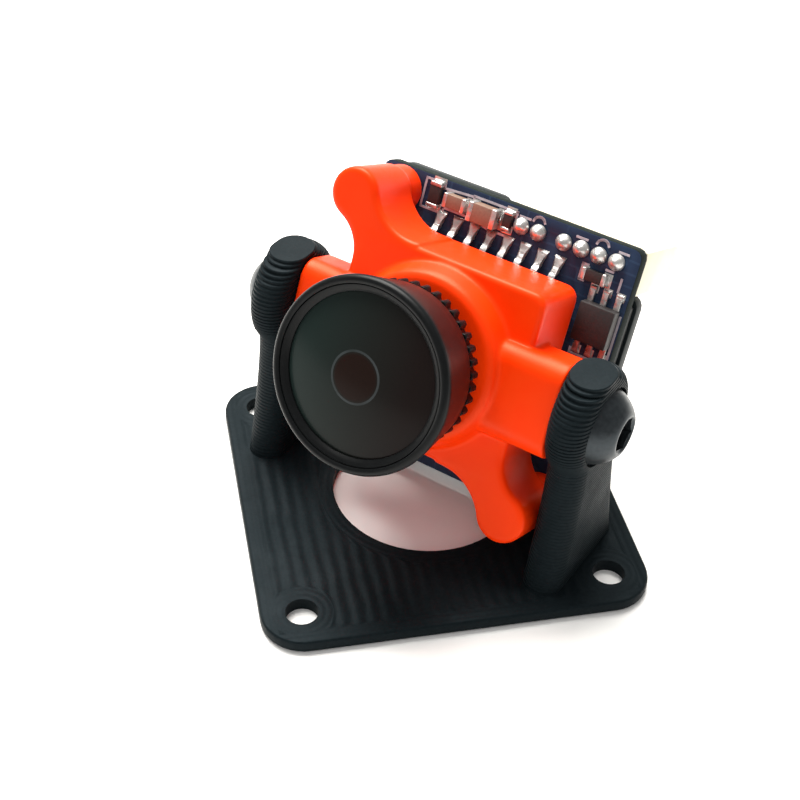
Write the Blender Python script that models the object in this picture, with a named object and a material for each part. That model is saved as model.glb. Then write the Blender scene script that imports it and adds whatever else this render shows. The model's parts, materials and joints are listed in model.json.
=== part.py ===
"""Tilting camera mount: a 19 mm micro camera clamped between the two ears of a printed base.

Run with: blender --background --python part.py
The frame is +Z up, with the origin at the centre of the base plate's underside. The tilt axis runs
along X, the base plate stands on its diagonal, and the lens looks towards -Y. Lengths are in
millimetres until a mesh is finished, where MM turns them into metres.
"""

import bpy
import bmesh
from math import atan2, cos, degrees, pi, radians, sin, sqrt
from mathutils import Matrix, Vector

MM = 0.001

# Printed base
PLATE_SIDE = 25.2
PLATE_CORNER_R = 2.8
PLATE_THICK = 0.9
HOLE_PITCH = 20.0
HOLE_R = 1.05
WINDOW_R = 6.3

# Ears
AXIS_HEIGHT = 12.4
EAR_INNER = 9.7
EAR_THICK = 2.7
EAR_TOP_R = 3.65
EAR_TOP = 15.75
LEG_WAIST = 2.9
FOOT_FLARE = 1.5
HEAD_SINK = 0.35
SHOULDER_HEIGHT = 15.0
SHOULDER_TAPER = 0.4

# Camera: x is across, n is up the boards, o is forward along the optical axis
REST_TILT = 23.0
SIDE_GAP = 0.06
BOX_HALF_X = 6.8
BOX_HALF_N = 6.35
BOX_FRONT = 1.0
BOX_REAR = -4.0
BOX_CORNER_R = 0.9
BAR_HALF_O = 2.05
BAR_HALF_N = 3.1
BAR_CORNER_R = 1.2
COLLAR_R = 5.6
COLLAR_FRONT = 2.6
LOBE_X = 7.85
LOBE_N = 8.0
LOBE_R = 1.72
LOBE_REAR = -3.5
NECK_SIDE_X = 6.95
NECK_TOP_N = 6.5
SIDE_HOLLOW_R = 2.6
TOP_HOLLOW_R = 3.4
POST_R = 1.6
BORE_R = 4.05

# Boards
BOARD_HALF = 9.6
BOARD_FRONT = -5.3
BOARD_THICK = 1.0
BOARD_CORNER_R = 0.6
REAR_BOARD_FRONT = -7.4
REAR_BOARD_TOP = 9.35
REAR_BOARD_BOTTOM = -7.5
NOTCH_LEFT = -1.0
NOTCH_BOTTOM = 6.2
PIN_PITCH = 1.25
PIN_ROW_N = 8.45
MENU_PIN_X = 1.25
POWER_PIN_X = 4.35
SOCKET_REAR = -12.1
SOCKET_TOP = 9.4
SOCKET_BOTTOM = 6.5
SOCKET_WALL = 0.5

# Sensor
SENSOR_HALF_X = 5.7
SENSOR_HALF_N = 5.3
LEAD_COUNT = 8
LEAD_PITCH = 1.27

# Screws
PIVOT_R = 1.45
PIVOT_HEAD_R = 2.5
PIVOT_HEAD_H = 1.55
PIVOT_FLAT_R = 1.35
HEX_ACROSS_FLATS = 2.0
HEX_DEPTH = 0.9
PIVOT_LENGTH = 5.2
CASE_SCREW_R = 0.75
CASE_SCREW_HEAD_R = 1.1
CASE_SCREW_HEAD_H = 0.45

# Lens
HEAD_FRONT_R = 6.0
HEAD_REAR_R = 5.2
HEAD_FRONT = 9.35
HEAD_REAR = 4.9
THREAD_R = 3.9
LENS_REAR = -0.85
RING_REAR = 3.95
RING_FRONT = 4.75
RING_R = 5.22
RING_TEETH = 40
TOOTH_DEPTH = 0.32


def facing(a, b, c):
    """Outline seen from the front: a across, b up the boards, c forward."""
    return Vector((a, -c, b))


def across(a, b, c):
    """Outline seen from the side: a forward, b up the boards, c across."""
    return Vector((c, -a, b))


def level(a, b, c):
    """Outline seen from above: a and b in the plan, c up."""
    return Vector((a, b, c))


def sideways(a, b, c):
    """Outline seen along the tilt axis, in the base's frame: a back, b up, c across."""
    return Vector((c, a, b))


def arc(cx, cy, r, start, end, steps):
    """Points on an arc, with angles in degrees."""
    points = []
    for i in range(steps + 1):
        angle = radians(start + (end - start) * i / steps)
        points.append((cx + r * cos(angle), cy + r * sin(angle)))
    return points


def circle(cx, cy, r, steps=24):
    return arc(cx, cy, r, 0, 360, steps)[:-1]


def rounded_box(left, right, low, high, r, steps=4):
    """Corner arcs of a rounded rectangle, anticlockwise."""
    points = arc(right - r, low + r, r, -90, 0, steps)
    points += arc(right - r, high - r, r, 0, 90, steps)
    points += arc(left + r, high - r, r, 90, 180, steps)
    points += arc(left + r, low + r, r, 180, 270, steps)
    return points


def box_outline(left, right, low, high):
    return [(left, low), (right, low), (right, high), (left, high)]


def loft(bm, rings):
    """Closed body through rings of equal point count, capped at both ends."""
    rows = []
    for ring in rings:
        rows.append([bm.verts.new(point) for point in ring])
    count = len(rows[0])
    for lower, upper in zip(rows, rows[1:]):
        for i in range(count):
            j = (i + 1) % count
            bm.faces.new((lower[i], lower[j], upper[j], upper[i]))
    bm.faces.new(list(reversed(rows[0])))
    bm.faces.new(rows[-1])


def prism(bm, outline, low, high, place):
    loft(bm, [[place(a, b, c) for a, b in outline] for c in (low, high)])


def turn(bm, profile, steps=32, frame=None):
    """Spin (radius, forward) points about the optical axis; frame then carries the result."""
    verts = [bm.verts.new(facing(r, 0, o)) for r, o in profile]
    edges = [bm.edges.new(pair) for pair in zip(verts, verts[1:])]
    if min(profile[0][0], profile[-1][0]) > 0:
        edges.append(bm.edges.new((verts[-1], verts[0])))
    bmesh.ops.spin(
        bm, geom=verts + edges, cent=(0, 0, 0), axis=(0, 1, 0), angle=2 * pi, steps=steps, use_merge=True
    )
    bmesh.ops.remove_doubles(bm, verts=bm.verts, dist=0.001)
    if frame is not None:
        bmesh.ops.transform(bm, matrix=frame, verts=bm.verts)


def finish(bm, name, finish_of, parent=None, sharp=35):
    """Turn a bmesh in millimetres into a smooth-shaded object in metres."""
    bmesh.ops.recalc_face_normals(bm, faces=bm.faces)
    bmesh.ops.scale(bm, vec=(MM, MM, MM), verts=bm.verts)
    mesh = bpy.data.meshes.new(name)
    bm.to_mesh(mesh)
    bm.free()
    mesh.shade_smooth()
    mesh.set_sharp_from_angle(angle=radians(sharp))
    piece = bpy.data.objects.new(name, mesh)
    bpy.context.collection.objects.link(piece)
    piece.parent = parent
    if finish_of is not None:
        mesh.materials.append(finish_of)
    return piece


def combine(piece, tool, operation):
    """Boolean the tool into the piece and leave the tool as a hidden guide."""
    tool.hide_render = True
    tool.display_type = "WIRE"
    modifier = piece.modifiers.new(f"{operation.title()} {tool.name}", "BOOLEAN")
    modifier.operation = operation
    modifier.solver = "EXACT"
    modifier.object = tool


def material(name, colour, roughness, metallic=0.0):
    made = bpy.data.materials.new(name)
    made.use_nodes = True
    shader = made.node_tree.nodes["Principled BSDF"]
    shader.inputs["Base Color"].default_value = (*colour, 1.0)
    shader.inputs["Roughness"].default_value = roughness
    shader.inputs["Metallic"].default_value = metallic
    return made


def make_materials():
    return {
        "printed_tpu": material("printed_tpu", (0.018, 0.019, 0.022), 0.55),
        "orange_case": material("orange_case", (0.95, 0.11, 0.012), 0.42),
        "black_screw": material("black_screw", (0.02, 0.021, 0.024), 0.38, 0.6),
        "steel": material("steel", (0.55, 0.55, 0.56), 0.3, 1.0),
        "tin": material("tin", (0.72, 0.72, 0.7), 0.28, 1.0),
        "blue_board": material("blue_board", (0.018, 0.032, 0.075), 0.4),
        "dark_board": material("dark_board", (0.012, 0.02, 0.022), 0.5),
        "cream_socket": material("cream_socket", (0.82, 0.78, 0.66), 0.5),
        "black_package": material("black_package", (0.015, 0.014, 0.014), 0.55),
        "tan_ceramic": material("tan_ceramic", (0.35, 0.22, 0.12), 0.5),
        "black_lens": material("black_lens", (0.01, 0.01, 0.011), 0.45),
        "lens_glass": material("lens_glass", (0.02, 0.035, 0.03), 0.03),
        "black_rubber": material("black_rubber", (0.012, 0.012, 0.012), 0.8),
        "silicon": material("silicon", (0.08, 0.07, 0.12), 0.2, 0.3),
    }


def stadium(centre, half_length, thick, height):
    """Ear section at one height: long along Y, with full round ends."""
    half = thick / 2
    straight = max(half_length - half, 0.0)
    reach = min(half, half_length)
    ring = []
    for point in arc(0, 0, 1, 0, 180, 7):
        ring.append(Vector((centre + half * point[0], straight + reach * point[1], height)))
    for point in arc(0, 0, 1, 180, 360, 7):
        ring.append(Vector((centre + half * point[0], -straight + reach * point[1], height)))
    return ring


def ear_half_length(height):
    """Half of the ear's depth: a round head on a waisted leg with a flared foot."""
    drop = abs(height - AXIS_HEIGHT)
    head = sqrt(EAR_TOP_R**2 - drop**2) if drop < EAR_TOP_R else 0.0
    waist_height = AXIS_HEIGHT - LEG_WAIST
    if height > waist_height:
        below = LEG_WAIST if height < AXIS_HEIGHT else 0.0
    else:
        span = waist_height - PLATE_THICK
        below = LEG_WAIST + FOOT_FLARE * ((waist_height - height) / span) ** 1.4
    return max(head, below)


def make_printed_mount(finishes):
    bm = bmesh.new()
    half = PLATE_SIDE / 2
    outline = rounded_box(-half, half, -half, half, PLATE_CORNER_R, 6)
    prism(bm, outline, 0, PLATE_THICK, level)
    bmesh.ops.rotate(bm, cent=(0, 0, 0), matrix=Matrix.Rotation(radians(45), 3, "Z"), verts=bm.verts)
    mount = finish(bm, "printed_mount", finishes["printed_tpu"])

    bm = bmesh.new()
    heights = [0.45, 0.9, 1.5, 2.4, 3.8, 5.5, 7.5, 9.5, 10.2, 11.2, 12.4, 13.4, 14.2, 14.8, 15.3, EAR_TOP]
    for side in (-1, 1):
        centre = side * (EAR_INNER + EAR_THICK / 2)
        rings = []
        for height in heights:
            shoulder = max(0.0, (height - SHOULDER_HEIGHT) / (EAR_TOP - SHOULDER_HEIGHT))
            thick = EAR_THICK - SHOULDER_TAPER * shoulder**2
            rings.append(stadium(centre, ear_half_length(height), thick, height))
        loft(bm, rings)
    combine(mount, finish(bm, "ears", None), "UNION")

    bm = bmesh.new()
    prism(bm, circle(0, 0, WINDOW_R, 48), -1, PLATE_THICK + 1, level)
    corner = HOLE_PITCH / sqrt(2)
    for x, y in ((corner, 0), (-corner, 0), (0, corner), (0, -corner)):
        prism(bm, circle(x, y, HOLE_R, 16), -1, PLATE_THICK + 1, level)
    combine(mount, finish(bm, "plate_holes", None), "DIFFERENCE")

    bm = bmesh.new()
    reach = EAR_INNER + EAR_THICK + 1
    for low, high in ((-reach, -EAR_INNER + 1), (EAR_INNER - 1, reach)):
        prism(bm, circle(0, AXIS_HEIGHT, PIVOT_R + 0.15), low, high, sideways)
    combine(mount, finish(bm, "pivot_bores", None), "DIFFERENCE")

    bm = bmesh.new()
    seat = EAR_INNER + EAR_THICK - HEAD_SINK
    for low, high in ((-reach, -seat), (seat, reach)):
        prism(bm, circle(0, AXIS_HEIGHT, PIVOT_HEAD_R + 0.12, 32), low, high, sideways)
    combine(mount, finish(bm, "head_seats", None), "DIFFERENCE")


def make_pivot_screw(name, side, finishes, pivot):
    """Button head socket screw: its domed head is pressed a little way into the ear's soft outer face."""
    seat = EAR_INNER + EAR_THICK - HEAD_SINK + 0.05
    profile = [(0, seat - PIVOT_LENGTH), (PIVOT_R - 0.3, seat - PIVOT_LENGTH)]
    profile += [(PIVOT_R, seat - PIVOT_LENGTH + 0.3), (PIVOT_R, seat)]
    drop = (PIVOT_HEAD_R**2 - PIVOT_FLAT_R**2 - PIVOT_HEAD_H**2) / (2 * PIVOT_HEAD_H)
    dome_r = sqrt(drop**2 + PIVOT_HEAD_R**2)
    steps = 6
    for i in range(steps + 1):
        height = PIVOT_HEAD_H * i / steps
        profile.append((sqrt(dome_r**2 - (drop + height) ** 2), seat + height))
    profile.append((0, seat + PIVOT_HEAD_H))
    bm = bmesh.new()
    turn(bm, profile, 24, Matrix.Rotation(radians(90 * side), 4, "Z"))
    screw = finish(bm, name, finishes["black_screw"], pivot)
    bm = bmesh.new()
    low = side * (seat + PIVOT_HEAD_H - HEX_DEPTH)
    high = side * (seat + PIVOT_HEAD_H + 0.5)
    prism(bm, circle(0, 0, HEX_ACROSS_FLATS / sqrt(3), 6), min(low, high), max(low, high), across)
    combine(screw, finish(bm, f"{name}_socket", None, pivot), "DIFFERENCE")


def lobe_outline(side):
    """Corner lobe and its neck: a round end joined to the box by a tight hollow and a wide one.

    side is 1 for the lower right lobe and -1 for the upper left one, the same outline turned half round.
    """
    side_x = NECK_SIDE_X + SIDE_HOLLOW_R
    side_n = LOBE_N - sqrt((LOBE_R + SIDE_HOLLOW_R) ** 2 - (side_x - LOBE_X) ** 2)
    top_n = NECK_TOP_N + TOP_HOLLOW_R
    top_x = LOBE_X - sqrt((LOBE_R + TOP_HOLLOW_R) ** 2 - (top_n - LOBE_N) ** 2)
    from_side = degrees(atan2(LOBE_N - side_n, LOBE_X - side_x))
    to_top = degrees(atan2(top_n - LOBE_N, top_x - LOBE_X))
    inner = 2.5
    outline = [(inner, inner), (NECK_SIDE_X, inner)]
    outline += arc(side_x, side_n, SIDE_HOLLOW_R, 180, from_side, 6)
    outline += arc(LOBE_X, LOBE_N, LOBE_R, from_side - 180, to_top, 12)[1:]
    outline += arc(top_x, top_n, TOP_HOLLOW_R, to_top - 180, -90, 6)[1:]
    outline.append((inner, NECK_TOP_N))
    return [(side * a, -side * b) for a, b in outline]


def make_front_case(finishes, pivot):
    finish_of = finishes["orange_case"]
    bm = bmesh.new()
    outline = rounded_box(-BOX_HALF_X, BOX_HALF_X, -BOX_HALF_N, BOX_HALF_N, BOX_CORNER_R)
    prism(bm, outline, BOX_REAR, BOX_FRONT, facing)
    case = finish(bm, "front_case", finish_of, pivot)

    bm = bmesh.new()
    bar = rounded_box(-BAR_HALF_O, BAR_HALF_O, -BAR_HALF_N, BAR_HALF_N, BAR_CORNER_R)
    arm_end = EAR_INNER - SIDE_GAP
    prism(bm, bar, -arm_end, arm_end, across)
    combine(case, finish(bm, "side_bar", None, pivot), "UNION")

    bm = bmesh.new()
    rise = [(COLLAR_R + 0.5, BOX_FRONT - 0.3), (COLLAR_R + 0.3, BOX_FRONT + 0.15)]
    rise += [(COLLAR_R, COLLAR_FRONT - 0.45), (COLLAR_R - 0.2, COLLAR_FRONT - 0.15)]
    rise += [(COLLAR_R - 0.6, COLLAR_FRONT), (0, COLLAR_FRONT)]
    turn(bm, [(0, BOX_FRONT - 0.3)] + rise, 40)
    combine(case, finish(bm, "lens_collar", None, pivot), "UNION")

    bm = bmesh.new()
    for side in (-1, 1):
        prism(bm, lobe_outline(side), LOBE_REAR, BOX_FRONT - 0.02, facing)
    combine(case, finish(bm, "lobes", None, pivot), "UNION")

    bm = bmesh.new()
    for side in (-1, 1):
        post = circle(side * LOBE_X, -side * LOBE_N, POST_R, 20)
        prism(bm, post, BOARD_FRONT + 0.1, LOBE_REAR + 0.5, facing)
    combine(case, finish(bm, "posts", None, pivot), "UNION")

    bm = bmesh.new()
    prism(bm, box_outline(-5.95, 5.95, -5.55, 5.55), BOX_REAR - 0.5, -1.9, facing)
    combine(case, finish(bm, "sensor_room", None, pivot), "DIFFERENCE")
    bm = bmesh.new()
    prism(bm, box_outline(-4.0, 4.0, -4.0, 4.0), -2.1, -1.1, facing)
    combine(case, finish(bm, "filter_seat", None, pivot), "DIFFERENCE")
    bm = bmesh.new()
    prism(bm, circle(0, 0, BORE_R, 40), -1.3, COLLAR_FRONT + 0.5, facing)
    combine(case, finish(bm, "lens_bore", None, pivot), "DIFFERENCE")

    bm = bmesh.new()
    for side in (-1, 1):
        low = side * (arm_end + 0.5)
        high = side * (EAR_INNER + EAR_THICK - HEAD_SINK - PIVOT_LENGTH - 0.15)
        prism(bm, circle(0, 0, PIVOT_R + 0.1), min(low, high), max(low, high), across)
        hole = circle(side * LOBE_X, -side * LOBE_N, CASE_SCREW_R + 0.08, 12)
        prism(bm, hole, BOARD_FRONT - 0.5, -1.4, facing)
    combine(case, finish(bm, "screw_holes", None, pivot), "DIFFERENCE")


def make_case_screw(name, side, seat, finishes, pivot):
    """Small pan head screw driven from the back through a board corner into a lobe's post."""
    bm = bmesh.new()
    profile = [(0, -1.6), (CASE_SCREW_R - 0.2, -1.6), (CASE_SCREW_R, -1.8), (CASE_SCREW_R, seat)]
    top = seat - CASE_SCREW_HEAD_H
    profile += [(CASE_SCREW_HEAD_R, seat), (CASE_SCREW_HEAD_R, top + 0.2)]
    profile += [(CASE_SCREW_HEAD_R - 0.25, top), (0.35, top), (0.25, top + 0.25), (0, top + 0.25)]
    turn(bm, profile, 16, Matrix.Translation(facing(side * LOBE_X, -side * LOBE_N, 0)))
    finish(bm, name, finishes["steel"], pivot)


def pin_places():
    """Positions of the six socket pins along the top of the main board."""
    menu = [MENU_PIN_X + PIN_PITCH * i for i in range(2)]
    power = [POWER_PIN_X + PIN_PITCH * i for i in range(4)]
    return menu + power


def make_main_board(finishes, pivot):
    bm = bmesh.new()
    outline = rounded_box(-BOARD_HALF, BOARD_HALF, -BOARD_HALF, BOARD_HALF, BOARD_CORNER_R, 3)
    prism(bm, outline, BOARD_FRONT - BOARD_THICK, BOARD_FRONT, facing)
    board = finish(bm, "main_board", finishes["blue_board"], pivot)
    bm = bmesh.new()
    for x in pin_places():
        prism(bm, circle(x, PIN_ROW_N, 0.32, 10), BOARD_FRONT - 2, BOARD_FRONT + 1, facing)
    for side in (-1, 1):
        hole = circle(side * LOBE_X, -side * LOBE_N, CASE_SCREW_R + 0.1, 14)
        prism(bm, hole, BOARD_FRONT - 2, BOARD_FRONT + 1, facing)
    combine(board, finish(bm, "main_board_holes", None, pivot), "DIFFERENCE")


def make_rear_board(finishes, pivot):
    """Processor board: shorter at the bottom to clear the base, notched for the sockets."""
    r = 0.8
    outline = arc(BOARD_HALF - r, REAR_BOARD_BOTTOM + r, r, -90, 0, 4)
    outline += arc(BOARD_HALF - r, NOTCH_BOTTOM - r, r, 0, 90, 4)
    outline += arc(NOTCH_LEFT + r, NOTCH_BOTTOM + r, r, 270, 180, 4)
    outline += arc(NOTCH_LEFT - r, REAR_BOARD_TOP - r, r, 0, 90, 4)
    outline += arc(-BOARD_HALF + r, REAR_BOARD_TOP - r, r, 90, 180, 4)
    outline += arc(-BOARD_HALF + r, REAR_BOARD_BOTTOM + r, r, 180, 270, 4)
    bm = bmesh.new()
    prism(bm, outline, REAR_BOARD_FRONT - BOARD_THICK, REAR_BOARD_FRONT, facing)
    board = finish(bm, "rear_board", finishes["dark_board"], pivot)
    bm = bmesh.new()
    hole = circle(-LOBE_X, LOBE_N, CASE_SCREW_R + 0.1, 14)
    prism(bm, hole, REAR_BOARD_FRONT - 2, REAR_BOARD_FRONT + 1, facing)
    combine(board, finish(bm, "rear_board_hole", None, pivot), "DIFFERENCE")


def make_block(name, outline, low, high, finish_of, pivot):
    """Plain component body: an outline on a board, between two depths."""
    bm = bmesh.new()
    prism(bm, outline, low, high, facing)
    return finish(bm, name, finish_of, pivot)


def make_headers(finishes, pivot):
    low = REAR_BOARD_FRONT + 0.05
    high = BOARD_FRONT - BOARD_THICK - 0.05
    for name, side in (("left_header", -1), ("right_header", 1)):
        edges = sorted((side * 8.1, side * 9.4))
        make_block(name, box_outline(*edges, -6.8, 5.6), low, high, finishes["black_package"], pivot)


def make_socket(name, left, right, finishes, pivot):
    """Open box that faces back; the pins stand inside it."""
    outline = box_outline(left, right, SOCKET_BOTTOM, SOCKET_TOP)
    board_back = BOARD_FRONT - BOARD_THICK
    socket = make_block(name, outline, SOCKET_REAR, board_back - 0.1, finishes["cream_socket"], pivot)
    bm = bmesh.new()
    room = box_outline(
        left + SOCKET_WALL, right - SOCKET_WALL, SOCKET_BOTTOM + SOCKET_WALL, SOCKET_TOP - SOCKET_WALL
    )
    prism(bm, room, SOCKET_REAR - 0.5, SOCKET_REAR + 4.2, facing)
    combine(socket, finish(bm, f"{name}_room", None, pivot), "DIFFERENCE")
    bm = bmesh.new()
    key = box_outline(left + 1.0, right - 1.0, SOCKET_BOTTOM - 0.4, SOCKET_BOTTOM + 1.0)
    prism(bm, key, SOCKET_REAR - 0.6, SOCKET_REAR + 2.6, facing)
    combine(socket, finish(bm, f"{name}_key", None, pivot), "DIFFERENCE")
    bm = bmesh.new()
    for x in pin_places():
        if left < x < right:
            prism(bm, circle(x, PIN_ROW_N, 0.3, 8), SOCKET_REAR + 4.0, board_back + 0.5, facing)
    combine(socket, finish(bm, f"{name}_pin_holes", None, pivot), "DIFFERENCE")


def make_socket_pins(finishes, pivot):
    """Each pin stands in its socket, passes the main board and ends in a solder dome on the front."""
    for number, x in enumerate(pin_places(), 1):
        bm = bmesh.new()
        front = BOARD_FRONT + 0.04
        tip = SOCKET_REAR + 1.2
        profile = [(0, tip), (0.08, tip), (0.2, tip + 0.4), (0.2, front)]
        profile += [(0.56, front), (0.56, front + 0.12), (0.44, front + 0.4), (0.24, front + 0.58)]
        profile += [(0, front + 0.64)]
        turn(bm, profile, 12, Matrix.Translation(facing(x, PIN_ROW_N, 0)))
        finish(bm, f"socket_pin_{number}", finishes["tin"], pivot)


def lead_section(up):
    """Side view of a bent sensor lead, (forward, up) points; up is 1 above and -1 below."""
    side = [(-4.7, 5.0), (-4.7, 6.2), (-5.25, 6.5), (-5.25, 7.35), (-5.1, 7.35), (-5.1, 6.6)]
    side += [(-4.5, 6.3), (-4.5, 5.0)]
    return [(a, up * b) for a, b in side]


def make_image_sensor(finishes, pivot):
    """Sensor package with eight bent leads above and eight below, soldered to the main board."""
    outline = box_outline(-SENSOR_HALF_X, SENSOR_HALF_X, -SENSOR_HALF_N, SENSOR_HALF_N)
    sensor = make_block("image_sensor", outline, -5.15, -3.0, finishes["black_package"], pivot)
    bm = bmesh.new()
    for i in range(LEAD_COUNT):
        x = (i - (LEAD_COUNT - 1) / 2) * LEAD_PITCH
        for up in (-1, 1):
            prism(bm, lead_section(up), x - 0.22, x + 0.22, across)
    combine(sensor, finish(bm, "sensor_leads", None, pivot), "UNION")
    bm = bmesh.new()
    prism(bm, box_outline(-4.65, 4.65, -4.25, 4.25), -3.5, -2.5, facing)
    combine(sensor, finish(bm, "window_seat", None, pivot), "DIFFERENCE")
    bm = bmesh.new()
    prism(bm, box_outline(-3.9, 3.9, -3.5, 3.5), -4.3, -3.2, facing)
    combine(sensor, finish(bm, "die_room", None, pivot), "DIFFERENCE")

    make_block("sensor_die", box_outline(-2.9, 2.9, -2.4, 2.4), -4.25, -3.8, finishes["silicon"], pivot)
    window = box_outline(-4.55, 4.55, -4.15, 4.15)
    make_block("sensor_window", window, -3.45, -3.05, finishes["lens_glass"], pivot)


def make_filter(finishes, pivot):
    outline = box_outline(-4.6, 4.6, -4.6, 4.6)
    gasket = make_block("filter_gasket", outline, -2.9, -2.0, finishes["black_rubber"], pivot)
    bm = bmesh.new()
    prism(bm, box_outline(-3.2, 3.2, -2.8, 2.8), -3.5, -1.5, facing)
    combine(gasket, finish(bm, "gasket_opening", None, pivot), "DIFFERENCE")
    plate = box_outline(-3.85, 3.85, -3.85, 3.85)
    make_block("ir_cut_filter", plate, -1.9, -1.35, finishes["lens_glass"], pivot)


def make_front_components(finishes, pivot):
    """Parts soldered to the main board's front, beside the case."""
    front = BOARD_FRONT + 0.05
    regulator = make_block(
        "voltage_regulator", rounded_box(6.9, 9.35, 3.05, 5.6, 0.1, 1), front + 0.1, front + 1.0,
        finishes["black_package"], pivot,
    )
    bm = bmesh.new()
    for x in (7.2, 8.12, 9.04):
        for low, high in ((2.3, 3.3), (5.3, 6.4)):
            prism(bm, box_outline(x - 0.2, x + 0.2, low, high), front, front + 0.3, facing)
    combine(regulator, finish(bm, "regulator_leads", None, pivot), "UNION")
    parts = (
        ("power_capacitor", (-2.3, -0.3, 7.75, 9.0), 1.0, "tan_ceramic"),
        ("signal_capacitor", (-4.3, -2.7, 8.0, 8.9), 0.8, "tan_ceramic"),
        ("bias_resistor", (-5.6, -4.8, 7.6, 9.3), 0.5, "black_package"),
        ("clamp_diode", (0.0, 0.6, 7.9, 9.1), 0.45, "black_package"),
        ("output_resistor", (6.2, 7.85, 6.75, 7.5), 0.45, "black_package"),
    )
    for name, (left, right, low, high), depth, slot in parts:
        outline = rounded_box(left, right, low, high, 0.08, 1)
        make_block(name, outline, front, front + depth, finishes[slot], pivot)


def make_rear_components(finishes, pivot):
    """Parts on the rear board's back."""
    back = REAR_BOARD_FRONT - BOARD_THICK - 0.05
    parts = (
        ("signal_processor", (-3.6, 3.6, -4.4, 2.8), 1.0, "black_package"),
        ("memory_chip", (-8.4, -5.0, -1.2, 3.0), 0.9, "black_package"),
        ("crystal", (5.2, 8.4, -3.4, -0.9), 0.8, "steel"),
        ("inductor", (5.0, 8.0, 1.6, 4.6), 1.2, "black_package"),
    )
    for name, (left, right, low, high), depth, slot in parts:
        outline = rounded_box(left, right, low, high, 0.2, 2)
        make_block(name, outline, back - depth, back, finishes[slot], pivot)


def make_lens_barrel(finishes, lens):
    """Threaded tube and flared head in one, with a stepped bore that holds the glass."""
    outer = [(THREAD_R, LENS_REAR), (THREAD_R, HEAD_REAR - 0.05), (HEAD_REAR_R - 0.15, HEAD_REAR - 0.05)]
    outer += [(HEAD_REAR_R, HEAD_REAR + 0.1), (5.45, 6.2), (5.75, 7.7), (HEAD_FRONT_R, HEAD_FRONT - 0.35)]
    outer += [(HEAD_FRONT_R - 0.1, HEAD_FRONT - 0.1), (HEAD_FRONT_R - 0.3, HEAD_FRONT)]
    inner = [(5.55, HEAD_FRONT - 0.05), (5.55, 6.9), (4.3, 6.9), (4.3, 5.6), (2.9, 5.6), (2.9, 1.0)]
    inner += [(2.5, 1.0), (2.5, LENS_REAR)]
    bm = bmesh.new()
    turn(bm, outer + inner, 40)
    finish(bm, "lens_barrel", finishes["black_lens"], lens)


def make_lock_ring(finishes, focus):
    """Toothed ring that screws along the lens thread and jams against the collar."""
    points = []
    for i in range(RING_TEETH):
        for share, r in ((0.0, RING_R - TOOTH_DEPTH), (0.3, RING_R), (0.7, RING_R)):
            angle = 2 * pi * (i + share) / RING_TEETH
            points.append((r * cos(angle), r * sin(angle)))
    bm = bmesh.new()
    prism(bm, points, RING_REAR, RING_FRONT, facing)
    ring = finish(bm, "lens_lock_ring", finishes["black_lens"], focus)
    bm = bmesh.new()
    prism(bm, circle(0, 0, THREAD_R + 0.1, 40), RING_REAR - 0.5, RING_FRONT + 0.5, facing)
    combine(ring, finish(bm, "ring_bore", None, focus), "DIFFERENCE")


def make_lens_glass(finishes, lens):
    """Rings and glass in the barrel, front to back."""
    retaining = [(5.45, 8.65), (5.45, 9.1), (5.1, 9.2), (4.95, 8.9), (4.95, 8.65)]
    meniscus = [(0, 8.9), (2.0, 8.75), (3.5, 8.4), (4.6, 7.95), (5.3, 7.6), (5.3, 8.5)]
    meniscus += [(4.6, 8.75), (3.5, 9.1), (2.0, 9.4), (0, 9.55)]
    baffle = [(5.35, 7.0), (5.35, 7.35), (4.6, 7.75), (3.5, 8.2), (2.0, 8.55), (1.6, 8.6)]
    baffle += [(1.5, 8.5), (1.5, 8.2), (2.6, 7.0)]
    second = [(0, 3.7), (2.8, 3.7), (2.8, 5.5), (1.7, 5.6), (1.5, 5.9), (0, 6.15)]
    aperture = [(0.5, 3.2), (2.8, 3.2), (2.8, 3.55), (0.5, 3.45)]
    rear = [(0, 0.9), (1.4, 1.0), (2.4, 1.15), (2.8, 1.3), (2.8, 3.05), (0, 3.1)]
    turned = (
        ("front_retaining_ring", "black_lens", retaining),
        ("front_element", "lens_glass", meniscus),
        ("baffle_ring", "black_lens", baffle),
        ("second_element", "lens_glass", second),
        ("aperture_disc", "black_lens", aperture),
        ("rear_element", "lens_glass", rear),
    )
    for name, slot, profile in turned:
        bm = bmesh.new()
        turn(bm, profile, 32)
        finish(bm, name, finishes[slot], lens)


def make_empty(name, parent, location=(0, 0, 0), tilt=0.0):
    guide = bpy.data.objects.new(name, None)
    guide.empty_display_size = 5 * MM
    bpy.context.collection.objects.link(guide)
    guide.parent = parent
    guide.location = location
    guide.rotation_euler = (radians(tilt), 0, 0)
    return guide


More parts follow.
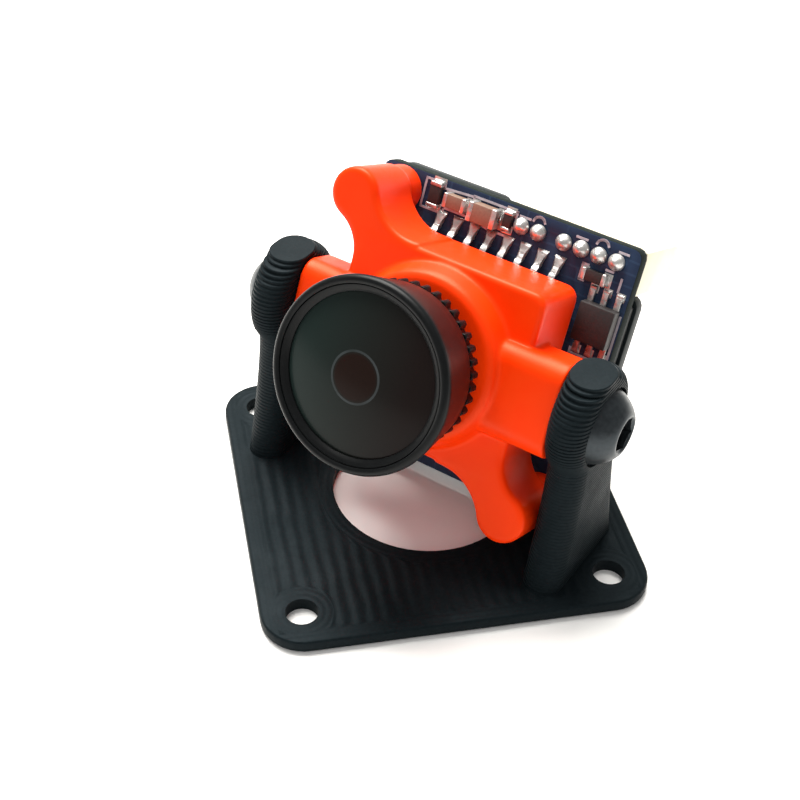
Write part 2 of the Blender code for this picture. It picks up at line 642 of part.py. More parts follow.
def build():
    for old in list(bpy.data.objects):
        bpy.data.objects.remove(old, do_unlink=True)
    finishes = make_materials()
    pivot = make_empty("tilt_pivot", None, (0, 0, AXIS_HEIGHT * MM), -REST_TILT)
    focus = make_empty("focus_carriage", pivot)
    lens = make_empty("lens_axis", focus)

    make_printed_mount(finishes)
    make_pivot_screw("left_pivot_screw", -1, finishes, pivot)
    make_pivot_screw("right_pivot_screw", 1, finishes, pivot)
    make_front_case(finishes, pivot)
    rear_seat = REAR_BOARD_FRONT - BOARD_THICK - 0.05
    make_case_screw("upper_case_screw", -1, rear_seat, finishes, pivot)
    make_case_screw("lower_case_screw", 1, BOARD_FRONT - BOARD_THICK - 0.05, finishes, pivot)
    make_main_board(finishes, pivot)
    make_rear_board(finishes, pivot)
    make_headers(finishes, pivot)
    make_socket("menu_socket", -0.45, 3.35, finishes, pivot)
    make_socket("power_socket", 3.45, 9.5, finishes, pivot)
    make_socket_pins(finishes, pivot)
    make_image_sensor(finishes, pivot)
    make_filter(finishes, pivot)
    make_front_components(finishes, pivot)
    make_rear_components(finishes, pivot)
    make_lock_ring(finishes, focus)
    make_lens_barrel(finishes, lens)
    make_lens_glass(finishes, lens)


build()
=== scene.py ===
"""Looks of a tilting camera mount: a 19 mm micro camera held between the ears of a printed base."""

import json
from math import atan2, cos, degrees, pi, radians, sin, sqrt

import bmesh
import bpy
from mathutils import Matrix, Vector


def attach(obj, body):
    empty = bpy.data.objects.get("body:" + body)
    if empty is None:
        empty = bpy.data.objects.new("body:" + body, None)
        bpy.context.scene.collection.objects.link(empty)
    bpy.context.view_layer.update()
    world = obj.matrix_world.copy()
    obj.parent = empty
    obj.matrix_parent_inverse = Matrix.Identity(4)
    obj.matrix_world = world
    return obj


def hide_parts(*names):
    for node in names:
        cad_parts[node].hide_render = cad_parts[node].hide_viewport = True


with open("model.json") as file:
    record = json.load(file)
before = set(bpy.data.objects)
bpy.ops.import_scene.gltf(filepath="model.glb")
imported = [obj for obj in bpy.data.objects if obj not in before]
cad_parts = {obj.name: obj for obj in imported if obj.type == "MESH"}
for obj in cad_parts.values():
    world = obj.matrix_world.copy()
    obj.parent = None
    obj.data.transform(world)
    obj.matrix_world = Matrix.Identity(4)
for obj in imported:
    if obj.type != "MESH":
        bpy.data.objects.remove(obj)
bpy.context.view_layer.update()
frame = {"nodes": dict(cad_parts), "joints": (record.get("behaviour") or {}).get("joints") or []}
scene = bpy.context.scene

# ---------------------------------------------------------------- Camera, light and floor
# The mount stands on a white table, seen from the front right and well above. One large soft light
# hangs behind it to the left, a weaker one fills the front, and a pale room lights the rest.
MM = 0.001
VIEW_TURN = radians(31.97)
VIEW_RISE = radians(39.94)
VIEW_ROLL = radians(2.49)
VIEW_TARGET = Vector((-3.117, 1.304, 6.055)) * MM
VIEW_DISTANCE = 98.63 * MM

scene.view_settings.view_transform = "Standard"
view = Matrix.Rotation(VIEW_TURN, 4, "Z") @ Matrix.Rotation(pi / 2 - VIEW_RISE, 4, "X")
view = view @ Matrix.Rotation(VIEW_ROLL, 4, "Z")
camera = bpy.data.objects.new("view_camera", bpy.data.cameras.new("view_camera"))
camera.data.lens = 65.53
camera.data.clip_start = 0.001
camera.matrix_world = Matrix.Translation(VIEW_TARGET) @ view @ Matrix.Translation((0, 0, VIEW_DISTANCE))
scene.collection.objects.link(camera)
scene.camera = camera


def linear(code):
    """sRGB hex colour as linear RGBA."""
    values = [int(code[i:i + 2], 16) / 255 for i in (1, 3, 5)]
    return [v / 12.92 if v <= 0.04045 else ((v + 0.055) / 1.055) ** 2.4 for v in values] + [1.0]


room = bpy.data.worlds.new("pale_room")
scene.world = room
room.use_nodes = True
room.node_tree.nodes["Background"].inputs["Color"].default_value = linear("#fbfaf8")
room.node_tree.nodes["Background"].inputs["Strength"].default_value = 0.46


def soft_light(name, turn, rise, distance, size, power, code, mirrored=True):
    """Square area light aimed at the middle of the mount."""
    lamp = bpy.data.lights.new(name, "AREA")
    lamp.size = size
    lamp.energy = power
    lamp.color = linear(code)[:3]
    piece = bpy.data.objects.new(name, lamp)
    aim = Matrix.Rotation(turn, 4, "Z") @ Matrix.Rotation(pi / 2 - rise, 4, "X")
    piece.matrix_world = Matrix.Translation((0, 0, 8 * MM)) @ aim @ Matrix.Translation((0, 0, distance))
    piece.visible_glossy = mirrored
    scene.collection.objects.link(piece)


soft_light("key_light", radians(228), radians(60), 0.40, 0.28, 5.0, "#fffdf8")
soft_light("front_fill", radians(5), radians(48), 0.45, 0.40, 0.35, "#ffffff", mirrored=False)


def add(tree, kind, inputs=None, **settings):
    """One node with its settings; an input is a value, or a (node, output) pair to link from."""
    node = tree.nodes.new(kind)
    for name, value in settings.items():
        setattr(node, name, value)
    for socket, value in (inputs or {}).items():
        if isinstance(value, tuple) and isinstance(value[0], bpy.types.Node):
            tree.links.new(value[0].outputs[value[1]], node.inputs[socket])
        else:
            node.inputs[socket].default_value = value
    return node


def new_finish(name, roughness, metallic=0.0):
    """Material with one Principled shader, as (material, tree, shader)."""
    made = bpy.data.materials.new(name)
    made.use_nodes = True
    shader = made.node_tree.nodes["Principled BSDF"]
    shader.inputs["Roughness"].default_value = roughness
    shader.inputs["Metallic"].default_value = metallic
    return made, made.node_tree, shader


# Matt white table board: a very faint mottling, close to one even white.
table_white, tree, shader = new_finish("matt_table_white", 0.9)
place_on = add(tree, "ShaderNodeTexCoord")
mottle = add(tree, "ShaderNodeTexNoise", {"Vector": (place_on, "Object"), "Scale": 60.0})
tone = add(
    tree, "ShaderNodeMix", {0: (mottle, 0), 6: linear("#f7f5f2"), 7: linear("#ffffff")}, data_type="RGBA",
)
tree.links.new(tone.outputs[2], shader.inputs["Base Color"])
shader.inputs["Specular IOR Level"].default_value = 0.1

bm = bmesh.new()
bmesh.ops.create_grid(bm, x_segments=2, y_segments=2, size=2.5)
bmesh.ops.translate(bm, vec=(0, 0, -0.02 * MM), verts=bm.verts)
mesh = bpy.data.meshes.new("table")
bm.to_mesh(mesh)
bm.free()
mesh.materials.append(table_white)
table = bpy.data.objects.new("table", mesh)
scene.collection.objects.link(table)

# ---------------------------------------------------------------- Printed mount
# Flexible base printed flat on its plate: two 0.45 mm walls round every edge and hole, coarse diagonal
# infill on top, and ears built up in 0.25 mm layers, which step where the round heads close.
PLATE_HALF = 12.6
PLATE_CORNER_R = 2.8
PLATE_THICK = 0.9
HOLE_CORNER = 10.0
HOLE_R = 1.05
WINDOW_R = 6.3
AXIS_HEIGHT = 12.4
EAR_INNER = 9.7
EAR_THICK = 2.7
EAR_TOP_R = 3.65
EAR_TOP = 15.75
LEG_WAIST = 2.9
FOOT_FLARE = 1.5
LAYER = 0.25
BEAD = 0.018
HEAD_BEAD = 0.045
HEAD_FROM = AXIS_HEIGHT - 1.6
EAR_FOOT = 0.45
CREASE = 0.05
END_STEPS = 12
PIVOT_BORE_R = 1.6
HEAD_SEAT_R = 2.62
HEAD_SINK = 0.35
INFILL_PITCH = 0.95
WALL_LINE = 0.45

tilt_joint = next(j for j in frame["joints"] if j["name"] == "camera_tilt")
focus_joint = next(j for j in frame["joints"] if j["name"] == "focus_travel")
PIVOT = Vector(tilt_joint["pos_m"])
FORWARD = Vector(focus_joint["axis"]).normalized()
TILT = atan2(FORWARD.z, -FORWARD.y)
MOUNT = Matrix.Scale(MM, 4)
CAMERA = Matrix.Translation(PIVOT) @ Matrix.Rotation(-TILT, 4, "X") @ MOUNT


def in_mm(tree, home, turn=(0.0, 0.0, 0.0)):
    """Object coordinates in millimetres in the mount's frame or the camera's own, then turned."""
    where = add(tree, "ShaderNodeTexCoord")
    back = home.inverted()
    mapped = add(
        tree, "ShaderNodeMapping", {
            "Vector": (where, "Object"), "Scale": back.to_scale(),
            "Rotation": back.to_euler(), "Location": back.to_translation(),
        },
    )
    if any(turn):
        mapped = add(tree, "ShaderNodeMapping", {"Vector": (mapped, 0), "Rotation": turn})
    return mapped


def shape(bm):
    """Working object, still in millimetres."""
    bmesh.ops.recalc_face_normals(bm, faces=bm.faces)
    mesh = bpy.data.meshes.new("blank")
    bm.to_mesh(mesh)
    bm.free()
    made = bpy.data.objects.new("blank", mesh)
    scene.collection.objects.link(made)
    return made


def bake(piece):
    """Make the evaluated shape the piece's own mesh."""
    bpy.context.view_layer.update()
    seen = piece.evaluated_get(bpy.context.evaluated_depsgraph_get())
    mesh = bpy.data.meshes.new_from_object(seen)
    piece.modifiers.clear()
    piece.data = mesh


def combine(piece, tool, operation):
    """Boolean one working object into another and throw the tool away."""
    change = piece.modifiers.new("combine", "BOOLEAN")
    change.operation = operation
    change.solver = "EXACT"
    change.object = tool
    bake(piece)
    bpy.data.objects.remove(tool)


def fit(piece, name, home, body, finish, stands_for=(), sharp=40):
    """Move a finished shape to its place in metres and tie it to its body."""
    piece.name = name
    piece.data.name = name
    piece.data.transform(home)
    piece.data.materials.clear()
    piece.data.materials.append(finish)
    piece.data.shade_smooth()
    piece.data.set_sharp_from_angle(angle=radians(sharp))
    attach(piece, body)
    if stands_for:
        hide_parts(*stands_for)


def drum(bm, centre, radius, low, high, axis="Z", steps=48):
    """Solid cylinder along one axis, from low to high."""
    turns = {"X": Matrix.Rotation(pi / 2, 4, "Y"), "Y": Matrix.Rotation(-pi / 2, 4, "X"), "Z": Matrix()}
    middle = Vector(centre)
    middle["XYZ".index(axis)] = (low + high) / 2
    bmesh.ops.create_cone(
        bm, cap_ends=True, segments=steps, radius1=radius, radius2=radius, depth=high - low,
        matrix=Matrix.Translation(middle) @ turns[axis],
    )


def block(bm, low, high, edge=0.0):
    """Box between two corners, its edges rounded."""
    low, high = Vector(low), Vector(high)
    size = Matrix.Diagonal((*(high - low), 1))
    made = bmesh.ops.create_cube(bm, size=1, matrix=Matrix.Translation((low + high) / 2) @ size)
    if edge:
        edges = list(dict.fromkeys(e for v in made["verts"] for e in v.link_edges))
        bmesh.ops.bevel(
            bm, geom=edges, offset=edge, segments=2, profile=0.5, affect="EDGES", material=-1,
        )


def push_cap(bm, cap, rise, reach, side, middle):
    """Extrude a flat cap upwards and move its two round ends and two flanks outwards."""
    made = bmesh.ops.extrude_face_region(bm, geom=[cap])
    verts = [v for v in made["geom"] if isinstance(v, bmesh.types.BMVert)]
    for v in verts:
        v.co.z += rise
        v.co.y += reach if v.co.y > 0 else -reach
        v.co.x += side if v.co.x > middle else -side
    return next(f for f in made["geom"] if isinstance(f, bmesh.types.BMFace))


def ear_half_length(height):
    """Half of the ear's depth: a round head on a waisted leg with a flared foot."""
    drop = abs(height - AXIS_HEIGHT)
    head = sqrt(EAR_TOP_R**2 - drop**2) if drop < EAR_TOP_R else 0.0
    waist_height = AXIS_HEIGHT - LEG_WAIST
    if height > waist_height:
        below = LEG_WAIST if height < AXIS_HEIGHT else 0.0
    else:
        span = waist_height - PLATE_THICK
        below = LEG_WAIST + FOOT_FLARE * ((waist_height - height) / span) ** 1.4
    return max(head, below)


bm = bmesh.new()
block(bm, (-PLATE_HALF, -PLATE_HALF, 0), (PLATE_HALF, PLATE_HALF, PLATE_THICK))
corners = [e for e in bm.edges if abs(e.verts[0].co.z - e.verts[1].co.z) > 0.1]
bmesh.ops.bevel(
    bm, geom=corners, offset=PLATE_CORNER_R, segments=10, profile=0.5, affect="EDGES", material=-1,
)
rims = [e for e in bm.edges if abs(e.verts[0].co.z - e.verts[1].co.z) < 0.1]
bmesh.ops.bevel(bm, geom=rims, offset=0.22, segments=3, profile=0.5, affect="EDGES", material=-1)
bmesh.ops.rotate(bm, cent=(0, 0, 0), matrix=Matrix.Rotation(radians(45), 3, "Z"), verts=bm.verts)
plate = shape(bm)
bm = bmesh.new()
drum(bm, (0, 0, 0), WINDOW_R, -1, 2, steps=64)
for x, y in ((1, 0), (-1, 0), (0, 1), (0, -1)):
    drum(bm, (x * HOLE_CORNER * sqrt(2), y * HOLE_CORNER * sqrt(2), 0), HOLE_R, -1, 2, steps=28)
combine(plate, shape(bm), "DIFFERENCE")

# Each ear is drawn up layer by layer, every layer bulging a little between its two creases
ears = []
for side in (-1, 1):
    bm = bmesh.new()
    centre = side * (EAR_INNER + EAR_THICK / 2)
    half = ear_half_length(EAR_FOOT)
    radius = EAR_THICK / 2 - HEAD_BEAD
    outline = []
    for end in (1, -1):
        for i in range(END_STEPS + 1):
            angle = pi * i / END_STEPS + (0 if end > 0 else pi)
            stretch = end * (half - radius)
            spot = (centre + radius * cos(angle), stretch + radius * sin(angle), EAR_FOOT)
            outline.append(bm.verts.new(spot))
    cap = bm.faces.new(outline)
    height = EAR_FOOT
    while height < EAR_TOP - 0.01:
        bead = HEAD_BEAD if height > HEAD_FROM else BEAD
        target = ear_half_length(min(height + LAYER / 2, EAR_TOP - 0.05))
        step = target - half
        cap = push_cap(bm, cap, CREASE, bead + step, bead, centre)
        cap = push_cap(bm, cap, LAYER - 2 * CREASE, 0, 0, centre)
        cap = push_cap(bm, cap, CREASE, -bead, -bead, centre)
        half = target
        height += LAYER
    ear = shape(bm)
    outer = EAR_INNER + EAR_THICK + 1
    for radius, inner in ((PIVOT_BORE_R, EAR_INNER - 1), (HEAD_SEAT_R, outer - 1 - HEAD_SINK)):
        bm = bmesh.new()
        drum(bm, (0, 0, AXIS_HEIGHT), radius, *sorted((side * inner, side * outer)), axis="X")
        combine(ear, shape(bm), "DIFFERENCE")
    ears.append(ear)
bm = bmesh.new()
for part in (plate, *ears):
    bm.from_mesh(part.data)
    bpy.data.objects.remove(part)
mount = bpy.data.objects.new("mount", bpy.data.meshes.new("mount"))
bm.to_mesh(mount.data)
bm.free()
scene.collection.objects.link(mount)

# Black TPU as printed: blue-black and satin. Wall lines follow the plate's edge, window and holes,
# the infill runs across between them, and each road stands up a little and catches the light.
printed_tpu, tree, shader = new_finish("printed_black_TPU", 0.46)
mm = in_mm(tree, MOUNT, (0.0, 0.0, -pi / 4))
wander = add(tree, "ShaderNodeTexNoise", {"Vector": (mm, 0), "Scale": 0.45, "Detail": 3.0})
axes = add(tree, "ShaderNodeSeparateXYZ", {0: (mm, 0)})
size_u = add(tree, "ShaderNodeMath", {0: (axes, 0)}, operation="ABSOLUTE")
size_v = add(tree, "ShaderNodeMath", {0: (axes, 1)}, operation="ABSOLUTE")
edge = add(tree, "ShaderNodeMath", {0: (size_u, 0), 1: (size_v, 0)}, operation="MAXIMUM")
flat = add(tree, "ShaderNodeCombineXYZ", {0: (size_u, 0), 1: (size_v, 0)})
from_middle = add(tree, "ShaderNodeVectorMath", {0: (flat, 0)}, operation="LENGTH")
from_hole = add(
    tree, "ShaderNodeVectorMath", {0: (flat, 0), 1: (HOLE_CORNER, HOLE_CORNER, 0.0)}, operation="DISTANCE"
)
# Distance in from the nearest printed edge
in_edge = add(tree, "ShaderNodeMath", {0: PLATE_HALF, 1: (edge, 0)}, operation="SUBTRACT")
in_window = add(tree, "ShaderNodeMath", {0: (from_middle, "Value"), 1: WINDOW_R}, operation="SUBTRACT")
in_hole = add(tree, "ShaderNodeMath", {0: (from_hole, "Value"), 1: HOLE_R}, operation="SUBTRACT")
nearest = add(tree, "ShaderNodeMath", {0: (in_edge, 0), 1: (in_window, 0)}, operation="MINIMUM")
nearest = add(tree, "ShaderNodeMath", {0: (nearest, 0), 1: (in_hole, 0)}, operation="MINIMUM")
walls = add(tree, "ShaderNodeMath", {0: (nearest, 0), 1: 2 * pi / WALL_LINE}, operation="MULTIPLY")
walls = add(tree, "ShaderNodeMath", {0: (walls, 0)}, operation="COSINE")
walls = add(tree, "ShaderNodeMath", {0: (walls, 0), 1: -0.006}, operation="MULTIPLY")
bend = add(tree, "ShaderNodeMath", {0: (wander, 0), 1: 0.4, 2: (axes, 0)}, operation="MULTIPLY_ADD")
roads = add(tree, "ShaderNodeMath", {0: (bend, 0), 1: 2 * pi / INFILL_PITCH}, operation="MULTIPLY")
roads = add(tree, "ShaderNodeMath", {0: (roads, 0)}, operation="SINE")
strength = add(tree, "ShaderNodeMapRange", {0: (wander, 0), 1: 0.3, 2: 0.7, 3: 0.016, 4: 0.042})
roads = add(tree, "ShaderNodeMath", {0: (roads, 0), 1: (strength, 0)}, operation="MULTIPLY")
inside = add(tree, "ShaderNodeMapRange", {0: (nearest, 0), 1: 0.95, 2: 1.15})
relief = add(tree, "ShaderNodeMix", {0: (inside, 0), 2: (walls, 0), 3: (roads, 0)}, data_type="FLOAT")
gap = add(tree, "ShaderNodeMath", {0: (nearest, 0), 1: 1.08, 2: 0.09}, operation="COMPARE")
relief = add(tree, "ShaderNodeMath", {0: (gap, 0), 1: -0.03, 2: (relief, 0)}, operation="MULTIPLY_ADD")
# The plate's pattern fades out above its top, where the ears' own layers are real steps
on_plate = add(
    tree, "ShaderNodeMapRange",
    {0: (axes, 2), 1: PLATE_THICK + 0.05, 2: PLATE_THICK + 0.15, 3: 1.0, 4: 0.0},
)
relief = add(tree, "ShaderNodeMath", {0: (relief, 0), 1: (on_plate, 0)}, operation="MULTIPLY")
fuzz = add(tree, "ShaderNodeTexNoise", {"Vector": (mm, 0), "Scale": 5.0, "Detail": 4.0})
relief = add(tree, "ShaderNodeMath", {0: (fuzz, 0), 1: 0.012, 2: (relief, 0)}, operation="MULTIPLY_ADD")
bump = add(tree, "ShaderNodeBump", {"Height": (relief, 0), "Distance": MM, "Strength": 1.0})
tree.links.new(bump.outputs[0], shader.inputs["Normal"])
tone = add(
    tree, "ShaderNodeMix", {0: (fuzz, 0), 6: linear("#0e1315"), 7: linear("#181f22")}, data_type="RGBA"
)
tree.links.new(tone.outputs[2], shader.inputs["Base Color"])
gloss = add(tree, "ShaderNodeMapRange", {0: (wander, 0), 1: 0.3, 2: 0.7, 3: 0.40, 4: 0.54})
tree.links.new(gloss.outputs[0], shader.inputs["Roughness"])
shader.inputs["Specular IOR Level"].default_value = 0.05
shader.inputs["Specular Tint"].default_value = linear("#cfe6f4")
fit(mount, "mount_print", MOUNT, "mount", printed_tpu, ["printed_mount"], 28)

# ---------------------------------------------------------------- Pivot screws
# M3 button head socket screws in alloy steel with a black oxide finish, one through each ear into
# the camera's side arm. The domed head is pressed a little way into the soft ear.
PIVOT_R = 1.45
HEAD_R = 2.5
HEAD_FLAT_R = 1.35
HEAD_HEIGHT = 1.55
HEX_FLATS = 2.0
HEX_DEPTH = 0.9
PIVOT_LENGTH = 5.2


def turned(profile, steps=96, turn_to=None):
    """Body of revolution about the optical axis from (radius, forward) points."""
    bm = bmesh.new()
    verts = [bm.verts.new((r, -o, 0)) for r, o in profile]
    edges = [bm.edges.new(pair) for pair in zip(verts, verts[1:])]
    if min(profile[0][0], profile[-1][0]) > 0:
        edges.append(bm.edges.new((verts[-1], verts[0])))
    bmesh.ops.spin(
        bm, geom=verts + edges, cent=(0, 0, 0), axis=(0, 1, 0), angle=2 * pi, steps=steps, use_merge=True
    )
    bmesh.ops.remove_doubles(bm, verts=bm.verts, dist=0.0005)
    if turn_to is not None:
        bmesh.ops.transform(bm, matrix=turn_to, verts=bm.verts)
    return bm


# Black oxide on steel: near black with a faint blue cast, satin, in faint random patches.
black_oxide, tree, shader = new_finish("black_oxide_steel", 0.36, 0.75)
mm = in_mm(tree, MOUNT)
speck = add(tree, "ShaderNodeTexNoise", {"Vector": (mm, 0), "Scale": 3.5, "Detail": 6.0})
tone = add(
    tree, "ShaderNodeMix", {0: (speck, 0), 6: linear("#23272a"), 7: linear("#3a4044")}, data_type="RGBA",
)
tree.links.new(tone.outputs[2], shader.inputs["Base Color"])
gloss = add(tree, "ShaderNodeMapRange", {0: (speck, 0), 1: 0.3, 2: 0.7, 3: 0.30, 4: 0.44})
tree.links.new(gloss.outputs[0], shader.inputs["Roughness"])
bump = add(tree, "ShaderNodeBump", {"Height": (speck, 0), "Distance": 0.006 * MM, "Strength": 1.0})
tree.links.new(bump.outputs[0], shader.inputs["Normal"])

for side, name in ((-1, "left_pivot_screw"), (1, "right_pivot_screw")):
    seat = EAR_INNER + EAR_THICK - HEAD_SINK + 0.05
    drop = (HEAD_R**2 - HEAD_FLAT_R**2 - HEAD_HEIGHT**2) / (2 * HEAD_HEIGHT)
    dome_r = sqrt(drop**2 + HEAD_R**2)
    profile = [(0, seat - PIVOT_LENGTH), (PIVOT_R - 0.3, seat - PIVOT_LENGTH)]
    profile += [(PIVOT_R, seat - PIVOT_LENGTH + 0.3), (PIVOT_R, seat), (HEAD_R - 0.15, seat)]
    profile += [(HEAD_R - 0.04, seat + 0.04), (HEAD_R, seat + 0.12)]
    for i in range(2, 15):
        rise = HEAD_HEIGHT * i / 14 - 0.02
        profile.append((sqrt(dome_r**2 - (drop + rise) ** 2), seat + rise))
    profile += [(HEAD_FLAT_R - 0.06, seat + HEAD_HEIGHT), (0, seat + HEAD_HEIGHT)]
    screw = shape(turned(profile, 64, Matrix.Rotation(radians(90 * side), 4, "Z")))
    top = seat + HEAD_HEIGHT
    hex_r = HEX_FLATS / sqrt(3)
    bm = bmesh.new()
    bmesh.ops.create_cone(
        bm, cap_ends=True, segments=6, radius1=hex_r, radius2=hex_r, depth=2 * HEX_DEPTH,
        matrix=Matrix.Translation((side * top, 0, 0)) @ Matrix.Rotation(pi / 2, 4, "Y"),
    )
    combine(screw, shape(bm), "DIFFERENCE")
    bm = bmesh.new()
    mouth = (hex_r + 0.22, hex_r - 0.08) if side > 0 else (hex_r - 0.08, hex_r + 0.22)
    bmesh.ops.create_cone(
        bm, cap_ends=True, segments=48, radius1=mouth[1], radius2=mouth[0], depth=0.3,
        matrix=Matrix.Translation((side * (top + 0.02), 0, 0)) @ Matrix.Rotation(pi / 2, 4, "Y"),
    )
    combine(screw, shape(bm), "DIFFERENCE")
    fit(screw, f"{name}_head_and_shank", CAMERA, "camera", black_oxide, [name], 30)

# ---------------------------------------------------------------- Orange front case
# The camera's front half, moulded in glass-filled nylon: a box for the sensor, a conical collar for
# the lens thread, a bar across for the pivot screws, and two corner lobes on posts for the boards.
BOX_HALF_X = 6.8
BOX_HALF_N = 6.35
BOX_FRONT = 1.0
BOX_REAR = -4.0
ARM_END = 9.64
BAR_HALF_O = 2.05
BAR_HALF_N = 3.1
LOBE_X = 7.85
LOBE_N = 8.0
LOBE_R = 1.72
LOBE_REAR = -3.5
NECK_SIDE_X = 6.95
NECK_TOP_N = 6.5
SIDE_HOLLOW_R = 2.6
TOP_HOLLOW_R = 3.4
POST_R = 1.6
SKIN = 0.11


def arc(cx, cy, r, start, end, steps):
    """Points on an arc, with angles in degrees."""
    angles = [radians(start + (end - start) * i / steps) for i in range(steps + 1)]
    return [(cx + r * cos(a), cy + r * sin(a)) for a in angles]


def lobe_outline():
    """Round lobe joined to the box by a tight hollow at its side and a wide one on top."""
    side_x = NECK_SIDE_X + SIDE_HOLLOW_R
    side_n = LOBE_N - sqrt((LOBE_R + SIDE_HOLLOW_R) ** 2 - (side_x - LOBE_X) ** 2)
    top_n = NECK_TOP_N + TOP_HOLLOW_R
    top_x = LOBE_X - sqrt((LOBE_R + TOP_HOLLOW_R) ** 2 - (top_n - LOBE_N) ** 2)
    from_side = degrees(atan2(LOBE_N - side_n, LOBE_X - side_x))
    to_top = degrees(atan2(top_n - LOBE_N, top_x - LOBE_X))
    outline = [(2.5, 2.5), (NECK_SIDE_X, 2.5)]
    outline += arc(side_x, side_n, SIDE_HOLLOW_R, 180, from_side, 10)
    outline += arc(LOBE_X, LOBE_N, LOBE_R, from_side - 180, to_top, 28)[1:]
    outline += arc(top_x, top_n, TOP_HOLLOW_R, to_top - 180, -90, 10)[1:]
    return outline + [(2.5, NECK_TOP_N)]


def slab(bm, outline, low, high, edge, both=False):
    """Outline of (across, up) points made solid between two depths, its front edges rounded."""
    face = bm.faces.new([bm.verts.new((a, -low, b)) for a, b in outline])
    made = bmesh.ops.extrude_face_region(bm, geom=[face])
    front = [v for v in made["geom"] if isinstance(v, bmesh.types.BMVert)]
    bmesh.ops.translate(bm, vec=(0, low - high, 0), verts=front)
    if edge:
        flat = set(front)
        edges = dict.fromkeys(e for v in front for e in v.link_edges if flat.issuperset(e.verts))
        if both:
            edges.update(dict.fromkeys(face.edges))
        bmesh.ops.bevel(
            bm, geom=list(edges), offset=edge, segments=4, profile=0.5, affect="EDGES", material=-1,
        )


def across_prism(bm, outline, left, right):
    """Outline of (forward, up) points made solid between two places across."""
    face = bm.faces.new([bm.verts.new((left, -a, b)) for a, b in outline])
    made = bmesh.ops.extrude_face_region(bm, geom=[face])
    far = [v for v in made["geom"] if isinstance(v, bmesh.types.BMVert)]
    bmesh.ops.translate(bm, vec=(right - left, 0, 0), verts=far)


def rounded_outline(left, right, low, high, r, steps=8):
    """Corner arcs of a rounded rectangle, anticlockwise."""
    points = arc(right - r, low + r, r, -90, 0, steps)
    points += arc(right - r, high - r, r, 0, 90, steps)
    points += arc(left + r, high - r, r, 90, 180, steps)
    return points + arc(left + r, low + r, r, 180, 270, steps)


# The outside is fused and softened in one skin, as a mould's polished cavity leaves it
bm = bmesh.new()
slab(bm, rounded_outline(-BOX_HALF_X, BOX_HALF_X, -BOX_HALF_N, BOX_HALF_N, 0.9), BOX_REAR, BOX_FRONT, 0.35)
across_prism(bm, rounded_outline(-BAR_HALF_O, BAR_HALF_O, -BAR_HALF_N, BAR_HALF_N, 1.2), -ARM_END, ARM_END)
for side in (-1, 1):
    outline = [(side * a, -side * b) for a, b in lobe_outline()]
    slab(bm, outline, LOBE_REAR, BOX_FRONT - 0.02, 0.35)
    drum(bm, (side * LOBE_X, 0, -side * LOBE_N), POST_R, 3.0, 5.2, axis="Y", steps=40)
case = shape(bm)
collar = [(0, 0.2), (6.25, 0.2), (6.12, 0.85), (5.9, 1.15), (5.6, 2.15), (5.42, 2.45), (5.1, 2.6), (0, 2.6)]
bm = turned(collar)
bm.from_mesh(case.data)
bpy.data.objects.remove(case)
case = shape(bm)
fuse = case.modifiers.new("fuse", "REMESH")
fuse.mode = "VOXEL"
fuse.voxel_size = SKIN
soften = case.modifiers.new("soften", "SMOOTH")
soften.factor = 0.5
soften.iterations = 5
bake(case)

bm = bmesh.new()
block(bm, (-5.95, 1.9, -5.55), (5.95, 4.5, 5.55))
block(bm, (-4.0, 1.1, -4.0), (4.0, 1.95, 4.0))
drum(bm, (0, 0, 0), 4.05, -3.1, 1.15, axis="Y", steps=96)
combine(case, shape(bm), "DIFFERENCE")
bm = bmesh.new()
for side in (-1, 1):
    drum(bm, (0, 0, 0), PIVOT_R + 0.1, *sorted((side * 6.7, side * 10)), axis="X", steps=40)
    drum(bm, (side * LOBE_X, 0, -side * LOBE_N), 0.83, 1.4, 5.5, axis="Y", steps=28)
combine(case, shape(bm), "DIFFERENCE")

# Orange glass-filled nylon: strong and even, satin from the mould, a fine grain and faint flow marks.
orange_nylon, tree, shader = new_finish("moulded_orange_nylon", 0.42)
mm = in_mm(tree, CAMERA)
flow = add(tree, "ShaderNodeTexNoise", {"Vector": (mm, 0), "Scale": 0.35, "Detail": 2.0, "Distortion": 1.2})
grain = add(tree, "ShaderNodeTexNoise", {"Vector": (mm, 0), "Scale": 9.0, "Detail": 3.0})
tone = add(
    tree, "ShaderNodeMix", {0: (flow, 0), 6: linear("#f23000"), 7: linear("#f23900")}, data_type="RGBA",
)
tree.links.new(tone.outputs[2], shader.inputs["Base Color"])
gloss = add(tree, "ShaderNodeMapRange", {0: (flow, 0), 1: 0.3, 2: 0.7, 3: 0.36, 4: 0.48})
tree.links.new(gloss.outputs[0], shader.inputs["Roughness"])
bump = add(tree, "ShaderNodeBump", {"Height": (grain, 0), "Distance": 0.006 * MM, "Strength": 1.0})
tree.links.new(bump.outputs[0], shader.inputs["Normal"])
shader.inputs["Specular IOR Level"].default_value = 0.26
shader.inputs["Specular Tint"].default_value = linear("#ffd9a8")
fit(case, "case_moulding", CAMERA, "camera", orange_nylon, ["front_case"], 50)

# ---------------------------------------------------------------- Case screws
# M1.6 pan head screws in zinc-plated steel, driven from behind through the boards' corners into the
# lobes' posts, with a cross recess in the head.
CASE_SCREW_R = 0.75
CASE_HEAD_R = 1.1
CROSS_HALF_LONG = 0.62
CROSS_HALF_WIDE = 0.14

